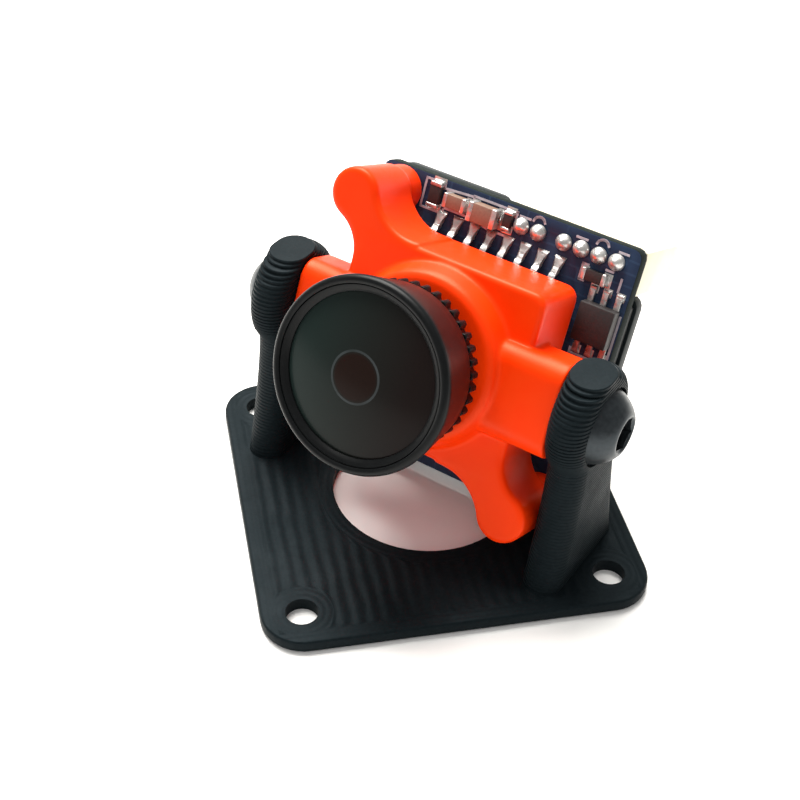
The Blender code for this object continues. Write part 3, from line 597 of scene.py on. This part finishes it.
# Zinc plate: bright and bluish grey, with cloudy duller patches.
zinc_plate, tree, shader = new_finish("zinc_plated_steel", 0.28, 1.0)
mm = in_mm(tree, CAMERA)
bloom = add(tree, "ShaderNodeTexNoise", {"Vector": (mm, 0), "Scale": 3.0, "Detail": 5.0})
tone = add(
    tree, "ShaderNodeMix", {0: (bloom, 0), 6: linear("#a9adb0"), 7: linear("#d3d5d2")}, data_type="RGBA",
)
tree.links.new(tone.outputs[2], shader.inputs["Base Color"])
gloss = add(tree, "ShaderNodeMapRange", {0: (bloom, 0), 1: 0.3, 2: 0.7, 3: 0.2, 4: 0.38})
tree.links.new(gloss.outputs[0], shader.inputs["Roughness"])

for name, side in (("upper_case_screw", -1), ("lower_case_screw", 1)):
    spots = [CAMERA.inverted() @ v.co for v in frame["nodes"][name].data.vertices]
    end = -max(v.y for v in spots)
    seat = end + 0.45
    profile = [(0, -1.6), (0.55, -1.6), (CASE_SCREW_R, -1.8), (CASE_SCREW_R, seat)]
    profile += [(CASE_HEAD_R - 0.02, seat), (CASE_HEAD_R, seat - 0.05), (CASE_HEAD_R, end + 0.2)]
    profile += [(1.02, end + 0.09), (0.85, end + 0.02), (0.6, end), (0, end)]
    place_at = Matrix.Translation((side * LOBE_X, 0, -side * LOBE_N))
    screw = shape(turned(profile, 48, place_at))
    for wide, tall in ((CROSS_HALF_LONG, CROSS_HALF_WIDE), (CROSS_HALF_WIDE, CROSS_HALF_LONG)):
        bm = bmesh.new()
        block(bm, (-wide, -end - 0.28, -tall), (wide, -end + 0.3, tall))
        cross = shape(bm)
        cross.data.transform(place_at)
        combine(screw, cross, "DIFFERENCE")
    fit(screw, f"{name}_turned", CAMERA, "camera", zinc_plate, [name], 30)

# ---------------------------------------------------------------- Main board
# Four-layer glass epoxy board, 19.2 mm square, with a dark blue mask, bare milled edges, plated pads
# and a white print that frames the parts.
BOARD_FRONT = -5.3

# Dark blue solder mask: satin, with copper tracks showing as faint raised lines under it, and a dull
# green-black edge where the glass cloth is cut. The faces are told from the edges by the board's own
# normals, which hold when the camera tilts.
blue_mask, tree, shader = new_finish("blue_masked_laminate", 0.42)
shader.inputs["Specular IOR Level"].default_value = 0.12
mm = in_mm(tree, CAMERA)
tracks = add(
    tree, "ShaderNodeTexBrick",
    {"Vector": (in_mm(tree, CAMERA, (pi / 2, 0.0, 0.0)), 0), "Scale": 1.0, "Mortar Size": 0.09,
     "Brick Width": 2.9, "Row Height": 0.8, "Mortar Smooth": 0.4},
)
cloud = add(tree, "ShaderNodeTexNoise", {"Vector": (mm, 0), "Scale": 0.5, "Detail": 4.0})
tone = add(
    tree, "ShaderNodeMix", {0: (cloud, 0), 6: linear("#20273e"), 7: linear("#2b3d55")}, data_type="RGBA",
)
tone = add(
    tree, "ShaderNodeMix", {0: (tracks, "Fac"), 6: (tone, 2), 7: linear("#2c3c54")}, data_type="RGBA"
)
facing_way = add(tree, "ShaderNodeTexCoord")
ahead = add(tree, "ShaderNodeVectorMath", {0: (facing_way, "Normal"), 1: FORWARD}, operation="DOT_PRODUCT")
ahead = add(tree, "ShaderNodeMath", {0: (ahead, "Value")}, operation="ABSOLUTE")
on_face = add(tree, "ShaderNodeMath", {0: (ahead, 0), 1: 0.85}, operation="GREATER_THAN")
glass = add(tree, "ShaderNodeTexNoise", {"Vector": (mm, 0), "Scale": 6.0, "Detail": 2.0})
cut_edge = add(
    tree, "ShaderNodeMix", {0: (glass, 0), 6: linear("#0b110f"), 7: linear("#1b2422")}, data_type="RGBA",
)
whole = add(tree, "ShaderNodeMix", {0: (on_face, 0), 6: (cut_edge, 2), 7: (tone, 2)}, data_type="RGBA")
tree.links.new(whole.outputs[2], shader.inputs["Base Color"])
gloss = add(tree, "ShaderNodeMapRange", {0: (on_face, 0), 3: 0.85, 4: 0.42})
tree.links.new(gloss.outputs[0], shader.inputs["Roughness"])
bump = add(tree, "ShaderNodeBump", {"Height": (tracks, "Fac"), "Distance": 0.02 * MM, "Strength": 0.35})
tree.links.new(bump.outputs[0], shader.inputs["Normal"])


def softened_copy(node, name, edge, finish, segments=2):
    """A CAD node's shape with its sharp edges broken."""
    bm = bmesh.new()
    bm.from_mesh(frame["nodes"][node].data)
    bmesh.ops.transform(bm, matrix=CAMERA.inverted(), verts=bm.verts)
    bmesh.ops.remove_doubles(bm, verts=bm.verts, dist=0.002)
    bmesh.ops.dissolve_limit(bm, angle_limit=radians(2), verts=bm.verts, edges=bm.edges)
    crisp = [e for e in bm.edges if len(e.link_faces) == 2 and e.calc_face_angle() > radians(40)]
    bmesh.ops.bevel(
        bm, geom=crisp, offset=edge, segments=segments, profile=0.5, affect="EDGES", material=-1,
        clamp_overlap=True,
    )
    fit(shape(bm), name, CAMERA, "camera", finish, [node])


softened_copy("main_board", "main_board_laminate", 0.06, blue_mask)

# White print: matt ink 0.15 mm wide, standing 0.02 mm on the mask, uneven at its edges.
white_ink, tree, shader = new_finish("white_print_ink", 0.7)
mm = in_mm(tree, CAMERA)
patchy = add(tree, "ShaderNodeTexNoise", {"Vector": (mm, 0), "Scale": 3.0, "Detail": 4.0})
tone = add(
    tree, "ShaderNodeMix", {0: (patchy, 0), 6: linear("#948a95"), 7: linear("#c9c3ca")}, data_type="RGBA",
)
tree.links.new(tone.outputs[2], shader.inputs["Base Color"])
INK = 0.15
INK_TOP = BOARD_FRONT + 0.025


def ink_line(bm, points):
    """Printed line through (across, up) points on the main board's front."""
    for (a, b), (c, d) in zip(points, points[1:]):
        length = sqrt((c - a) ** 2 + (d - b) ** 2) + INK
        turn_to = Matrix.Rotation(-atan2(d - b, c - a), 4, "Y")
        bmesh.ops.create_cube(
            bm, size=1,
            matrix=Matrix.Translation(((a + c) / 2, -INK_TOP, (b + d) / 2)) @ turn_to
            @ Matrix.Diagonal((length, 0.04, INK, 1)),
        )


bm = bmesh.new()
for points in (
    [(-6.2, 7.35), (-6.2, 9.3), (-4.75, 9.3), (-4.75, 9.0), (-2.5, 9.15), (-2.5, 7.75), (-4.4, 7.75)],
    [(-6.2, 7.35), (-4.5, 7.35), (-4.5, 7.6)],
    [(-2.5, 9.2), (0.75, 9.2), (0.75, 8.2)],
    [(-2.5, 7.75), (-1.0, 7.45), (0.4, 7.45)],
    arc(2.35, 9.0, 0.42, 20, 170, 8),
    arc(6.9, 9.05, 0.42, 20, 170, 8),
    [(1.0, 9.05), (1.7, 9.05)],
    [(5.1, 9.1), (5.8, 9.1)],
    [(8.1, 9.1), (8.7, 9.1)],
    [(6.35, 7.65), (6.0, 7.65), (6.0, 6.6), (6.3, 6.6)],
    [(7.6, 7.75), (8.05, 7.75)],
    [(8.75, 7.5), (8.75, 6.7)],
    [(6.8, 2.2), (6.8, 1.9), (9.4, 1.9), (9.4, 5.2)],
):
    ink_line(bm, points)
fit(shape(bm), "board_print", CAMERA, "camera", white_ink)

# ---------------------------------------------------------------- Solder, leads and pins
# The sensor's bent leads and the socket pins, reflowed onto plated pads: the solder climbs each lead
# and spreads over its pad, and closes over each pin as a dome. Tin is bright, smooth and a bit lumpy.
tin_solder, tree, shader = new_finish("reflowed_tin_solder", 0.3, 0.8)
mm = in_mm(tree, CAMERA)
lump = add(tree, "ShaderNodeTexNoise", {"Vector": (mm, 0), "Scale": 1.8, "Detail": 3.0})
tone = add(
    tree, "ShaderNodeMix", {0: (lump, 0), 6: linear("#a3a2a0"), 7: linear("#e6e4e1")}, data_type="RGBA",
)
tree.links.new(tone.outputs[2], shader.inputs["Base Color"])
gloss = add(tree, "ShaderNodeMapRange", {0: (lump, 0), 1: 0.3, 2: 0.7, 3: 0.24, 4: 0.45})
tree.links.new(gloss.outputs[0], shader.inputs["Roughness"])
bump = add(tree, "ShaderNodeBump", {"Height": (lump, 0), "Distance": 0.12 * MM, "Strength": 0.8})
tree.links.new(bump.outputs[0], shader.inputs["Normal"])

LEAD_PITCH = 1.27
LEAD_HALF = 0.22
LEAD_NECK = 0.8
NECK_FROM = 6.6
SOLDER_FROM = 6.9
SOLDER_SPREAD = 1.6
PIN_ROW_N = 8.45
PIN_PLACES = [1.25, 2.5] + [4.35 + 1.25 * i for i in range(4)]

for number in range(8):
    x = (number - 3.5) * LEAD_PITCH
    for up, where in ((1, "upper"), (-1, "lower")):
        bm = bmesh.new()
        section = [(-4.7, 5.25), (-4.68, 6.1), (-4.78, 6.28), (-5.22, 6.52), (-5.27, 6.62), (-5.31, 7.55)]
        section += [(-5.26, 7.55), (-5.16, 7.35), (-4.98, 6.95), (-4.86, 6.7), (-4.62, 6.36), (-4.5, 6.2)]
        section += [(-4.5, 5.25)]
        across_prism(bm, [(a, up * b) for a, b in section], x - LEAD_HALF, x + LEAD_HALF)
        for v in bm.verts:
            if abs(v.co.z) > NECK_FROM:
                spread = LEAD_NECK + SOLDER_SPREAD * max(0.0, abs(v.co.z) - SOLDER_FROM)
                v.co.x = x + (v.co.x - x) * spread
        name = f"sensor_lead_{where}_{number + 1}"
        fit(shape(bm), name, CAMERA, "camera", tin_solder, (), 75)

for number, x in enumerate(PIN_PLACES, 1):
    tip, front = -10.9, BOARD_FRONT + 0.04
    profile = [(0, tip), (0.08, tip), (0.2, tip + 0.4), (0.2, front), (0.5, front)]
    profile += [(0.56, front + 0.05), (0.55, front + 0.14), (0.49, front + 0.26), (0.4, front + 0.38)]
    profile += [(0.3, front + 0.48), (0.21, front + 0.56), (0.15, front + 0.62), (0, front + 0.64)]
    pin = shape(turned(profile, 32, Matrix.Translation((x, 0, PIN_ROW_N))))
    fit(pin, f"pin_and_dome_{number}", CAMERA, "camera", tin_solder, [f"socket_pin_{number}"], 50)

# ---------------------------------------------------------------- Parts on the main board's front
# Ceramic capacitors with tinned ends, black chip resistors and a diode, and a small voltage regulator
# with six legs, all reflowed onto pads that stick out a little at each end.

# Fired ceramic: tan, matt and finely gritty.
tan_ceramic, tree, shader = new_finish("fired_tan_ceramic", 0.5)
mm = in_mm(tree, CAMERA)
grit = add(tree, "ShaderNodeTexNoise", {"Vector": (mm, 0), "Scale": 4.0, "Detail": 5.0})
tone = add(
    tree, "ShaderNodeMix", {0: (grit, 0), 6: linear("#6b5346"), 7: linear("#8d7362")}, data_type="RGBA",
)
tree.links.new(tone.outputs[2], shader.inputs["Base Color"])
bump = add(tree, "ShaderNodeBump", {"Height": (grit, 0), "Distance": 0.01 * MM, "Strength": 1.0})
tree.links.new(bump.outputs[0], shader.inputs["Normal"])

# Moulded epoxy: dull brown-black with a fine filler grain.
black_epoxy, tree, shader = new_finish("moulded_black_epoxy", 0.55)
mm = in_mm(tree, CAMERA)
filler = add(tree, "ShaderNodeTexNoise", {"Vector": (mm, 0), "Scale": 7.0, "Detail": 4.0})
tone = add(
    tree, "ShaderNodeMix", {0: (filler, 0), 6: linear("#1c191a"), 7: linear("#332d2d")}, data_type="RGBA",
)
tree.links.new(tone.outputs[2], shader.inputs["Base Color"])
bump = add(tree, "ShaderNodeBump", {"Height": (filler, 0), "Distance": 0.012 * MM, "Strength": 1.0})
tree.links.new(bump.outputs[0], shader.inputs["Normal"])


def fillet(bm, across, up, half_x, half_n, height, neck_x, neck_n):
    """Solder drawn up from its pad in a hollow slope to a narrow top."""
    made = bmesh.ops.create_grid(
        bm, x_segments=1, y_segments=1, size=0.5,
        matrix=Matrix.Translation((across, -BOARD_FRONT - 0.01, up)) @ Matrix.Rotation(pi / 2, 4, "X")
        @ Matrix.Diagonal((2 * half_x, 2 * half_n, 1, 1)),
    )
    face = made["verts"][0].link_faces[0]
    steps = 6
    for i in range(1, steps + 1):
        made = bmesh.ops.extrude_face_region(bm, geom=[face])
        top = [v for v in made["geom"] if isinstance(v, bmesh.types.BMVert)]
        face = next(f for f in made["geom"] if isinstance(f, bmesh.types.BMFace))
        share = sqrt(1 - (1 - i / steps) ** 2)
        for v in top:
            x_end = half_x + (neck_x - half_x) * share
            n_end = half_n + (neck_n - half_n) * share
            v.co.x = across + (x_end if v.co.x > across else -x_end)
            v.co.z = up + (n_end if v.co.z > up else -n_end)
            v.co.y = -BOARD_FRONT - 0.01 - height * i / steps


def chip(node, left, right, low, high, depth, upright, body_finish):
    """Two-ended chip part: a body, and a wrapped metal cap with a solder foot at each end."""
    base = BOARD_FRONT + 0.06
    bm = bmesh.new()
    block(bm, (left, -base - depth + 0.04, low), (right, -base, high), 0.06)
    fit(shape(bm), f"{node}_body", CAMERA, "camera", body_finish, [node])
    length = (high - low) if upright else (right - left)
    wrap = 0.16 * length
    bm = bmesh.new()
    for start in (0, 1):
        if upright:
            near, far = (low - 0.03, low + wrap) if start == 0 else (high - wrap, high + 0.03)
            block(bm, (left - 0.03, -base - depth, near), (right + 0.03, -base + 0.02, far), 0.07)
            end = low if start == 0 else high
            fillet(bm, (left + right) / 2, end, (right - left) / 2 + 0.08, 0.3, depth * 0.6, 0.3, 0.05)
        else:
            near, far = (left - 0.03, left + wrap) if start == 0 else (right - wrap, right + 0.03)
            block(bm, (near, -base - depth, low - 0.03), (far, -base + 0.02, high + 0.03), 0.07)
            end = left if start == 0 else right
            fillet(bm, end, (low + high) / 2, 0.3, (high - low) / 2 + 0.08, depth * 0.6, 0.05, 0.3)
    ends = shape(bm)
    fit(ends, f"{node}_ends", CAMERA, "camera", tin_solder, (), 75)


chip("power_capacitor", -2.3, -0.3, 7.75, 9.0, 1.0, False, tan_ceramic)
chip("signal_capacitor", -4.3, -2.7, 8.0, 8.9, 0.8, False, tan_ceramic)
chip("bias_resistor", -5.6, -4.8, 7.6, 9.3, 0.5, True, black_epoxy)
chip("clamp_diode", 0.0, 0.6, 7.9, 9.1, 0.45, True, black_epoxy)
chip("output_resistor", 6.2, 7.85, 6.75, 7.5, 0.45, False, black_epoxy)

bm = bmesh.new()
block(bm, (6.9, -BOARD_FRONT - 1.05, 3.05), (9.35, -BOARD_FRONT - 0.15, 5.6), 0.09)
regulator = shape(bm)
fit(regulator, "regulator_body", CAMERA, "camera", black_epoxy, ["voltage_regulator"])
bm = bmesh.new()
for x in (7.2, 8.12, 9.04):
    for near, far in ((3.3, 2.3), (5.35, 6.4)):
        low, high = sorted((near, far))
        block(bm, (x - 0.2, -BOARD_FRONT - 0.3, low), (x + 0.2, -BOARD_FRONT - 0.05, high), 0.05)
        fillet(bm, x, far, 0.3, 0.28, 0.22, 0.2, 0.12)
fit(shape(bm), "regulator_legs", CAMERA, "camera", tin_solder)

bm = bmesh.new()
block(bm, (-5.7, 3.0, -5.3), (5.7, 5.15, 5.3), 0.12)
package = shape(bm)
bm = bmesh.new()
block(bm, (-4.65, 2.5, -4.25), (4.65, 3.5, 4.25))
block(bm, (-3.9, 3.2, -3.5), (3.9, 4.3, 3.5))
combine(package, shape(bm), "DIFFERENCE")
fit(package, "sensor_package", CAMERA, "camera", black_epoxy, ["image_sensor"])

# ---------------------------------------------------------------- Sockets
# Two wire-to-board sockets in moulded cream nylon, 1.25 mm pitch, soldered to the main board's back
# with their mouths facing backwards. The nylon is satin and lets a little light in.
cream_nylon, tree, shader = new_finish("moulded_cream_nylon", 0.42)
mm = in_mm(tree, CAMERA)
milky = add(tree, "ShaderNodeTexNoise", {"Vector": (mm, 0), "Scale": 0.8, "Detail": 3.0})
tone = add(
    tree, "ShaderNodeMix", {0: (milky, 0), 6: linear("#e3d8b9"), 7: linear("#efe8d2")}, data_type="RGBA",
)
tree.links.new(tone.outputs[2], shader.inputs["Base Color"])
shader.inputs["Subsurface Weight"].default_value = 0.15
shader.inputs["Subsurface Radius"].default_value = (0.0006, 0.0005, 0.0003)
softened_copy("menu_socket", "menu_socket_housing", 0.07, cream_nylon)
softened_copy("power_socket", "power_socket_housing", 0.07, cream_nylon)

# ---------------------------------------------------------------- Rear board and its parts
# Processor board behind the main one, in a dark green-black mask, joined to it by two black header
# strips. Its parts face back: a processor, a memory chip, a crystal in a metal can and an inductor.
# Dark solder mask: green-black and dull, its tracks barely seen.
dark_mask, tree, shader = new_finish("dark_masked_laminate", 0.5)
shader.inputs["Specular IOR Level"].default_value = 0.12
mm = in_mm(tree, CAMERA)
tracks = add(
    tree, "ShaderNodeTexBrick",
    {"Vector": (in_mm(tree, CAMERA, (pi / 2, 0.0, 0.0)), 0), "Scale": 1.0, "Mortar Size": 0.08,
     "Brick Width": 4.6, "Row Height": 1.4, "Mortar Smooth": 0.4},
)
cloud = add(tree, "ShaderNodeTexNoise", {"Vector": (mm, 0), "Scale": 0.6, "Detail": 4.0})
tone = add(
    tree, "ShaderNodeMix", {0: (cloud, 0), 6: linear("#0e1415"), 7: linear("#1a2224")}, data_type="RGBA",
)
tone = add(tree, "ShaderNodeMix", {0: (tracks, "Fac"), 6: (tone, 2), 7: linear("#161d1f")}, data_type="RGBA")
tree.links.new(tone.outputs[2], shader.inputs["Base Color"])
bump = add(tree, "ShaderNodeBump", {"Height": (tracks, "Fac"), "Distance": 0.01 * MM, "Strength": 0.2})
tree.links.new(bump.outputs[0], shader.inputs["Normal"])
softened_copy("rear_board", "rear_board_laminate", 0.06, dark_mask)

# Black nylon: dull, with a slight haze.
header_nylon, tree, shader = new_finish("moulded_black_nylon", 0.5)
mm = in_mm(tree, CAMERA)
haze = add(tree, "ShaderNodeTexNoise", {"Vector": (mm, 0), "Scale": 2.5, "Detail": 4.0})
tone = add(
    tree, "ShaderNodeMix", {0: (haze, 0), 6: linear("#121314"), 7: linear("#25282a")}, data_type="RGBA",
)
tree.links.new(tone.outputs[2], shader.inputs["Base Color"])
for node in ("left_header", "right_header"):
    softened_copy(node, f"{node}_strip", 0.08, header_nylon)
for node in ("signal_processor", "memory_chip"):
    softened_copy(node, f"{node}_package", 0.08, black_epoxy)
softened_copy("crystal", "crystal_can", 0.15, zinc_plate, segments=3)

# Sintered ferrite: dark grey, matt and finely pored.
ferrite, tree, shader = new_finish("sintered_ferrite", 0.6)
mm = in_mm(tree, CAMERA)
pores = add(tree, "ShaderNodeTexNoise", {"Vector": (mm, 0), "Scale": 8.0, "Detail": 5.0})
tone = add(
    tree, "ShaderNodeMix", {0: (pores, 0), 6: linear("#202122"), 7: linear("#454648")}, data_type="RGBA",
)
tree.links.new(tone.outputs[2], shader.inputs["Base Color"])
bump = add(tree, "ShaderNodeBump", {"Height": (pores, 0), "Distance": 0.02 * MM, "Strength": 1.0})
tree.links.new(bump.outputs[0], shader.inputs["Normal"])
softened_copy("inductor", "inductor_body", 0.3, ferrite, segments=4)

# ---------------------------------------------------------------- Lens
# Screw-in wide angle lens: a black anodised barrel with an M8 x 0.5 thread and a flared head, a toothed
# ring that locks it, and a strongly domed front glass held by a thin screwed ring.
THREAD_R = 3.9
THREAD_PITCH = 0.5
THREAD_DEPTH = 0.22

# Black anodise over turned aluminium: satin black with fine rings from the lathe tool.
black_anodise, tree, shader = new_finish("black_anodised_aluminium", 0.38)
mm = in_mm(tree, CAMERA)
rings = add(
    tree, "ShaderNodeTexWave", {"Vector": (mm, 0), "Scale": 1.6, "Distortion": 0.3, "Detail": 1.0},
    wave_type="BANDS", bands_direction="Y",
)
dust = add(tree, "ShaderNodeTexNoise", {"Vector": (mm, 0), "Scale": 4.0, "Detail": 5.0})
tone = add(
    tree, "ShaderNodeMix", {0: (dust, 0), 6: linear("#08090a"), 7: linear("#111314")}, data_type="RGBA",
)
tree.links.new(tone.outputs[2], shader.inputs["Base Color"])
bump = add(tree, "ShaderNodeBump", {"Height": (rings, "Fac"), "Distance": 0.004 * MM, "Strength": 1.0})
tree.links.new(bump.outputs[0], shader.inputs["Normal"])
shader.inputs["Specular IOR Level"].default_value = 0.13

profile = [(2.5, -0.85), (THREAD_R - THREAD_DEPTH, -0.85)]
place_o = -0.75
while place_o < 4.4:
    profile += [(THREAD_R, place_o + THREAD_PITCH / 2), (THREAD_R - THREAD_DEPTH, place_o + THREAD_PITCH)]
    place_o += THREAD_PITCH
profile += [(THREAD_R - THREAD_DEPTH, 4.85), (5.0, 4.85), (5.14, 4.9), (5.22, 5.02)]
profile += [(5.45, 6.2), (5.75, 7.7), (5.93, 8.55), (6.0, 8.92), (5.99, 9.08), (5.93, 9.22), (5.83, 9.31)]
profile += [(5.7, 9.35), (5.58, 9.33), (5.49, 9.27), (5.47, 9.2), (5.47, 6.9), (4.3, 6.9), (4.3, 5.6)]
profile += [(2.9, 5.6), (2.9, 1.0), (2.5, 1.0)]
fit(shape(turned(profile, 128)), "lens_barrel_turned", CAMERA, "lens", black_anodise,
    ["lens_barrel"], 30)

profile = [(5.45, 8.6), (5.45, 9.18), (5.41, 9.22), (5.33, 9.2), (5.08, 9.04), (5.0, 8.96), (4.98, 8.8)]
profile += [(5.1, 8.6)]
fit(shape(turned(profile, 128)), "retaining_ring_turned", CAMERA, "lens", black_anodise,
    ["front_retaining_ring"], 30)

RING_TEETH = 40
TOOTH = ((0.0, 4.9), (0.12, 4.93), (0.3, 5.18), (0.4, 5.22), (0.6, 5.22), (0.7, 5.18), (0.88, 4.93))
outline = []
for i in range(RING_TEETH):
    for share, r in TOOTH:
        angle = 2 * pi * (i + share) / RING_TEETH
        outline.append((r * cos(angle), r * sin(angle)))
bm = bmesh.new()
slab(bm, outline, 3.95, 4.75, 0.05, both=True)
ring = shape(bm)
bm = bmesh.new()
drum(bm, (0, 0, 0), 4.0, -5.5, -3, axis="Y", steps=96)
combine(ring, shape(bm), "DIFFERENCE")
fit(ring, "lock_ring_knurled", CAMERA, "lock_ring", black_anodise, ["lens_lock_ring"], 40)

# Coated glass over a black cell: near black and softly shiny, with a painted reflection running from green
# on one side to brown on the other, and the thin grey edge of the stop round a brown middle.
DOME_R = 5.3
DOME_EDGE = 8.75
DOME_RISE = 0.8
STOP_R = 1.58
coated_glass, tree, shader = new_finish("coated_optical_glass", 0.2)
shader.inputs["Specular IOR Level"].default_value = 0.06
mm = in_mm(tree, CAMERA)
axes = add(tree, "ShaderNodeSeparateXYZ", {0: (mm, 0)})
# Painted reflection: green on one side of the glass fading to brown on the other, set by the across position
painted_reflection_across = add(tree, "ShaderNodeMapRange", {0: (axes, 0), 1: -4.5, 2: 3.5})
tone = add(
    tree, "ShaderNodeMix", {0: (painted_reflection_across, 0), 6: linear("#1b2624"), 7: linear("#1a1413")}, data_type="RGBA",
)
flat = add(tree, "ShaderNodeCombineXYZ", {0: (axes, 0), 1: (axes, 2)})
out = add(tree, "ShaderNodeVectorMath", {0: (flat, 0)}, operation="LENGTH")
middle = add(tree, "ShaderNodeMapRange", {0: (out, "Value"), 1: STOP_R - 0.25, 2: STOP_R})
tone = add(
    tree, "ShaderNodeMix", {0: (middle, 0), 6: linear("#1d1310"), 7: (tone, 2)}, data_type="RGBA"
)
rim = add(tree, "ShaderNodeMath", {0: (out, "Value"), 1: STOP_R, 2: 0.07}, operation="COMPARE")
worn = add(tree, "ShaderNodeTexNoise", {"Vector": (mm, 0), "Scale": 0.6, "Detail": 2.0})
rim = add(tree, "ShaderNodeMath", {0: (rim, 0), 1: (worn, 0)}, operation="MULTIPLY")
tone = add(tree, "ShaderNodeMix", {0: (rim, 0), 6: (tone, 2), 7: linear("#43484a")}, data_type="RGBA")
tree.links.new(tone.outputs[2], shader.inputs["Base Color"])

profile = [(DOME_R * i / 12, 8.9 - 1.3 * (i / 12) ** 2) for i in range(13)] + [(DOME_R, DOME_EDGE)]
dome_r = (DOME_R**2 + DOME_RISE**2) / (2 * DOME_RISE)
for i in range(1, 33):
    r = DOME_R * (1 - i / 32)
    profile.append((r, DOME_EDGE + DOME_RISE - dome_r + sqrt(dome_r**2 - r**2)))
fit(shape(turned(profile, 128)), "front_glass", CAMERA, "lens", coated_glass,
    ["front_element"], 30)

# Matt black inside the barrel: paint and rubber that swallow stray light.
matt_black, tree, shader = new_finish("matt_black_paint", 0.7)
mm = in_mm(tree, CAMERA)
tooth = add(tree, "ShaderNodeTexNoise", {"Vector": (mm, 0), "Scale": 6.0, "Detail": 4.0})
tone = add(
    tree, "ShaderNodeMix", {0: (tooth, 0), 6: linear("#060707"), 7: linear("#0f0f10")}, data_type="RGBA",
)
tree.links.new(tone.outputs[2], shader.inputs["Base Color"])
shader.inputs["Specular IOR Level"].default_value = 0.1
profile = [(5.35, 7.0)] + [(5.3 * i / 12, 8.82 - 1.3 * (i / 12) ** 2) for i in range(12, 3, -1)]
profile += [(1.66, 8.76), (1.58, 8.72), (1.5, 8.6), (1.5, 8.2), (2.6, 7.0)]
fit(shape(turned(profile, 96)), "baffle_cone", CAMERA, "lens", matt_black, ["baffle_ring"], 40)

# Infrared filter glass: clear, with a pale blue-green tint.
filter_glass, tree, shader = new_finish("infrared_filter_glass", 0.03)
mm = in_mm(tree, CAMERA)
tint = add(tree, "ShaderNodeTexNoise", {"Vector": (mm, 0), "Scale": 0.4, "Detail": 1.0})
tone = add(
    tree, "ShaderNodeMix", {0: (tint, 0), 6: linear("#8fb9b4"), 7: linear("#a3c9c2")}, data_type="RGBA",
)
tree.links.new(tone.outputs[2], shader.inputs["Base Color"])
shader.inputs["Transmission Weight"].default_value = 1.0

# Polished silicon: dark violet, with the fine grid of its cells.
polished_silicon, tree, shader = new_finish("polished_silicon", 0.2, 0.3)
cells = add(
    tree, "ShaderNodeTexBrick", {"Vector": (in_mm(tree, CAMERA, (pi / 2, 0.0, 0.0)), 0), "Scale": 8.0},
)
tone = add(
    tree, "ShaderNodeMix", {0: (cells, "Fac"), 6: linear("#3d3a52"), 7: linear("#56506b")}, data_type="RGBA"
)
tree.links.new(tone.outputs[2], shader.inputs["Base Color"])

# Silicone rubber: black, matt and faintly bloomed.
black_rubber, tree, shader = new_finish("black_silicone_rubber", 0.8)
mm = in_mm(tree, CAMERA)
bloom = add(tree, "ShaderNodeTexNoise", {"Vector": (mm, 0), "Scale": 2.0, "Detail": 4.0})
tone = add(
    tree, "ShaderNodeMix", {0: (bloom, 0), 6: linear("#131313"), 7: linear("#232323")}, data_type="RGBA",
)
tree.links.new(tone.outputs[2], shader.inputs["Base Color"])

# The inner pieces keep their CAD shapes
hidden = {
    "second_element": coated_glass, "rear_element": coated_glass, "aperture_disc": matt_black,
    "ir_cut_filter": filter_glass, "sensor_window": filter_glass, "sensor_die": polished_silicon,
    "filter_gasket": black_rubber,
}
for node, finish in hidden.items():
    frame["nodes"][node].data.materials.clear()
    frame["nodes"][node].data.materials.append(finish)
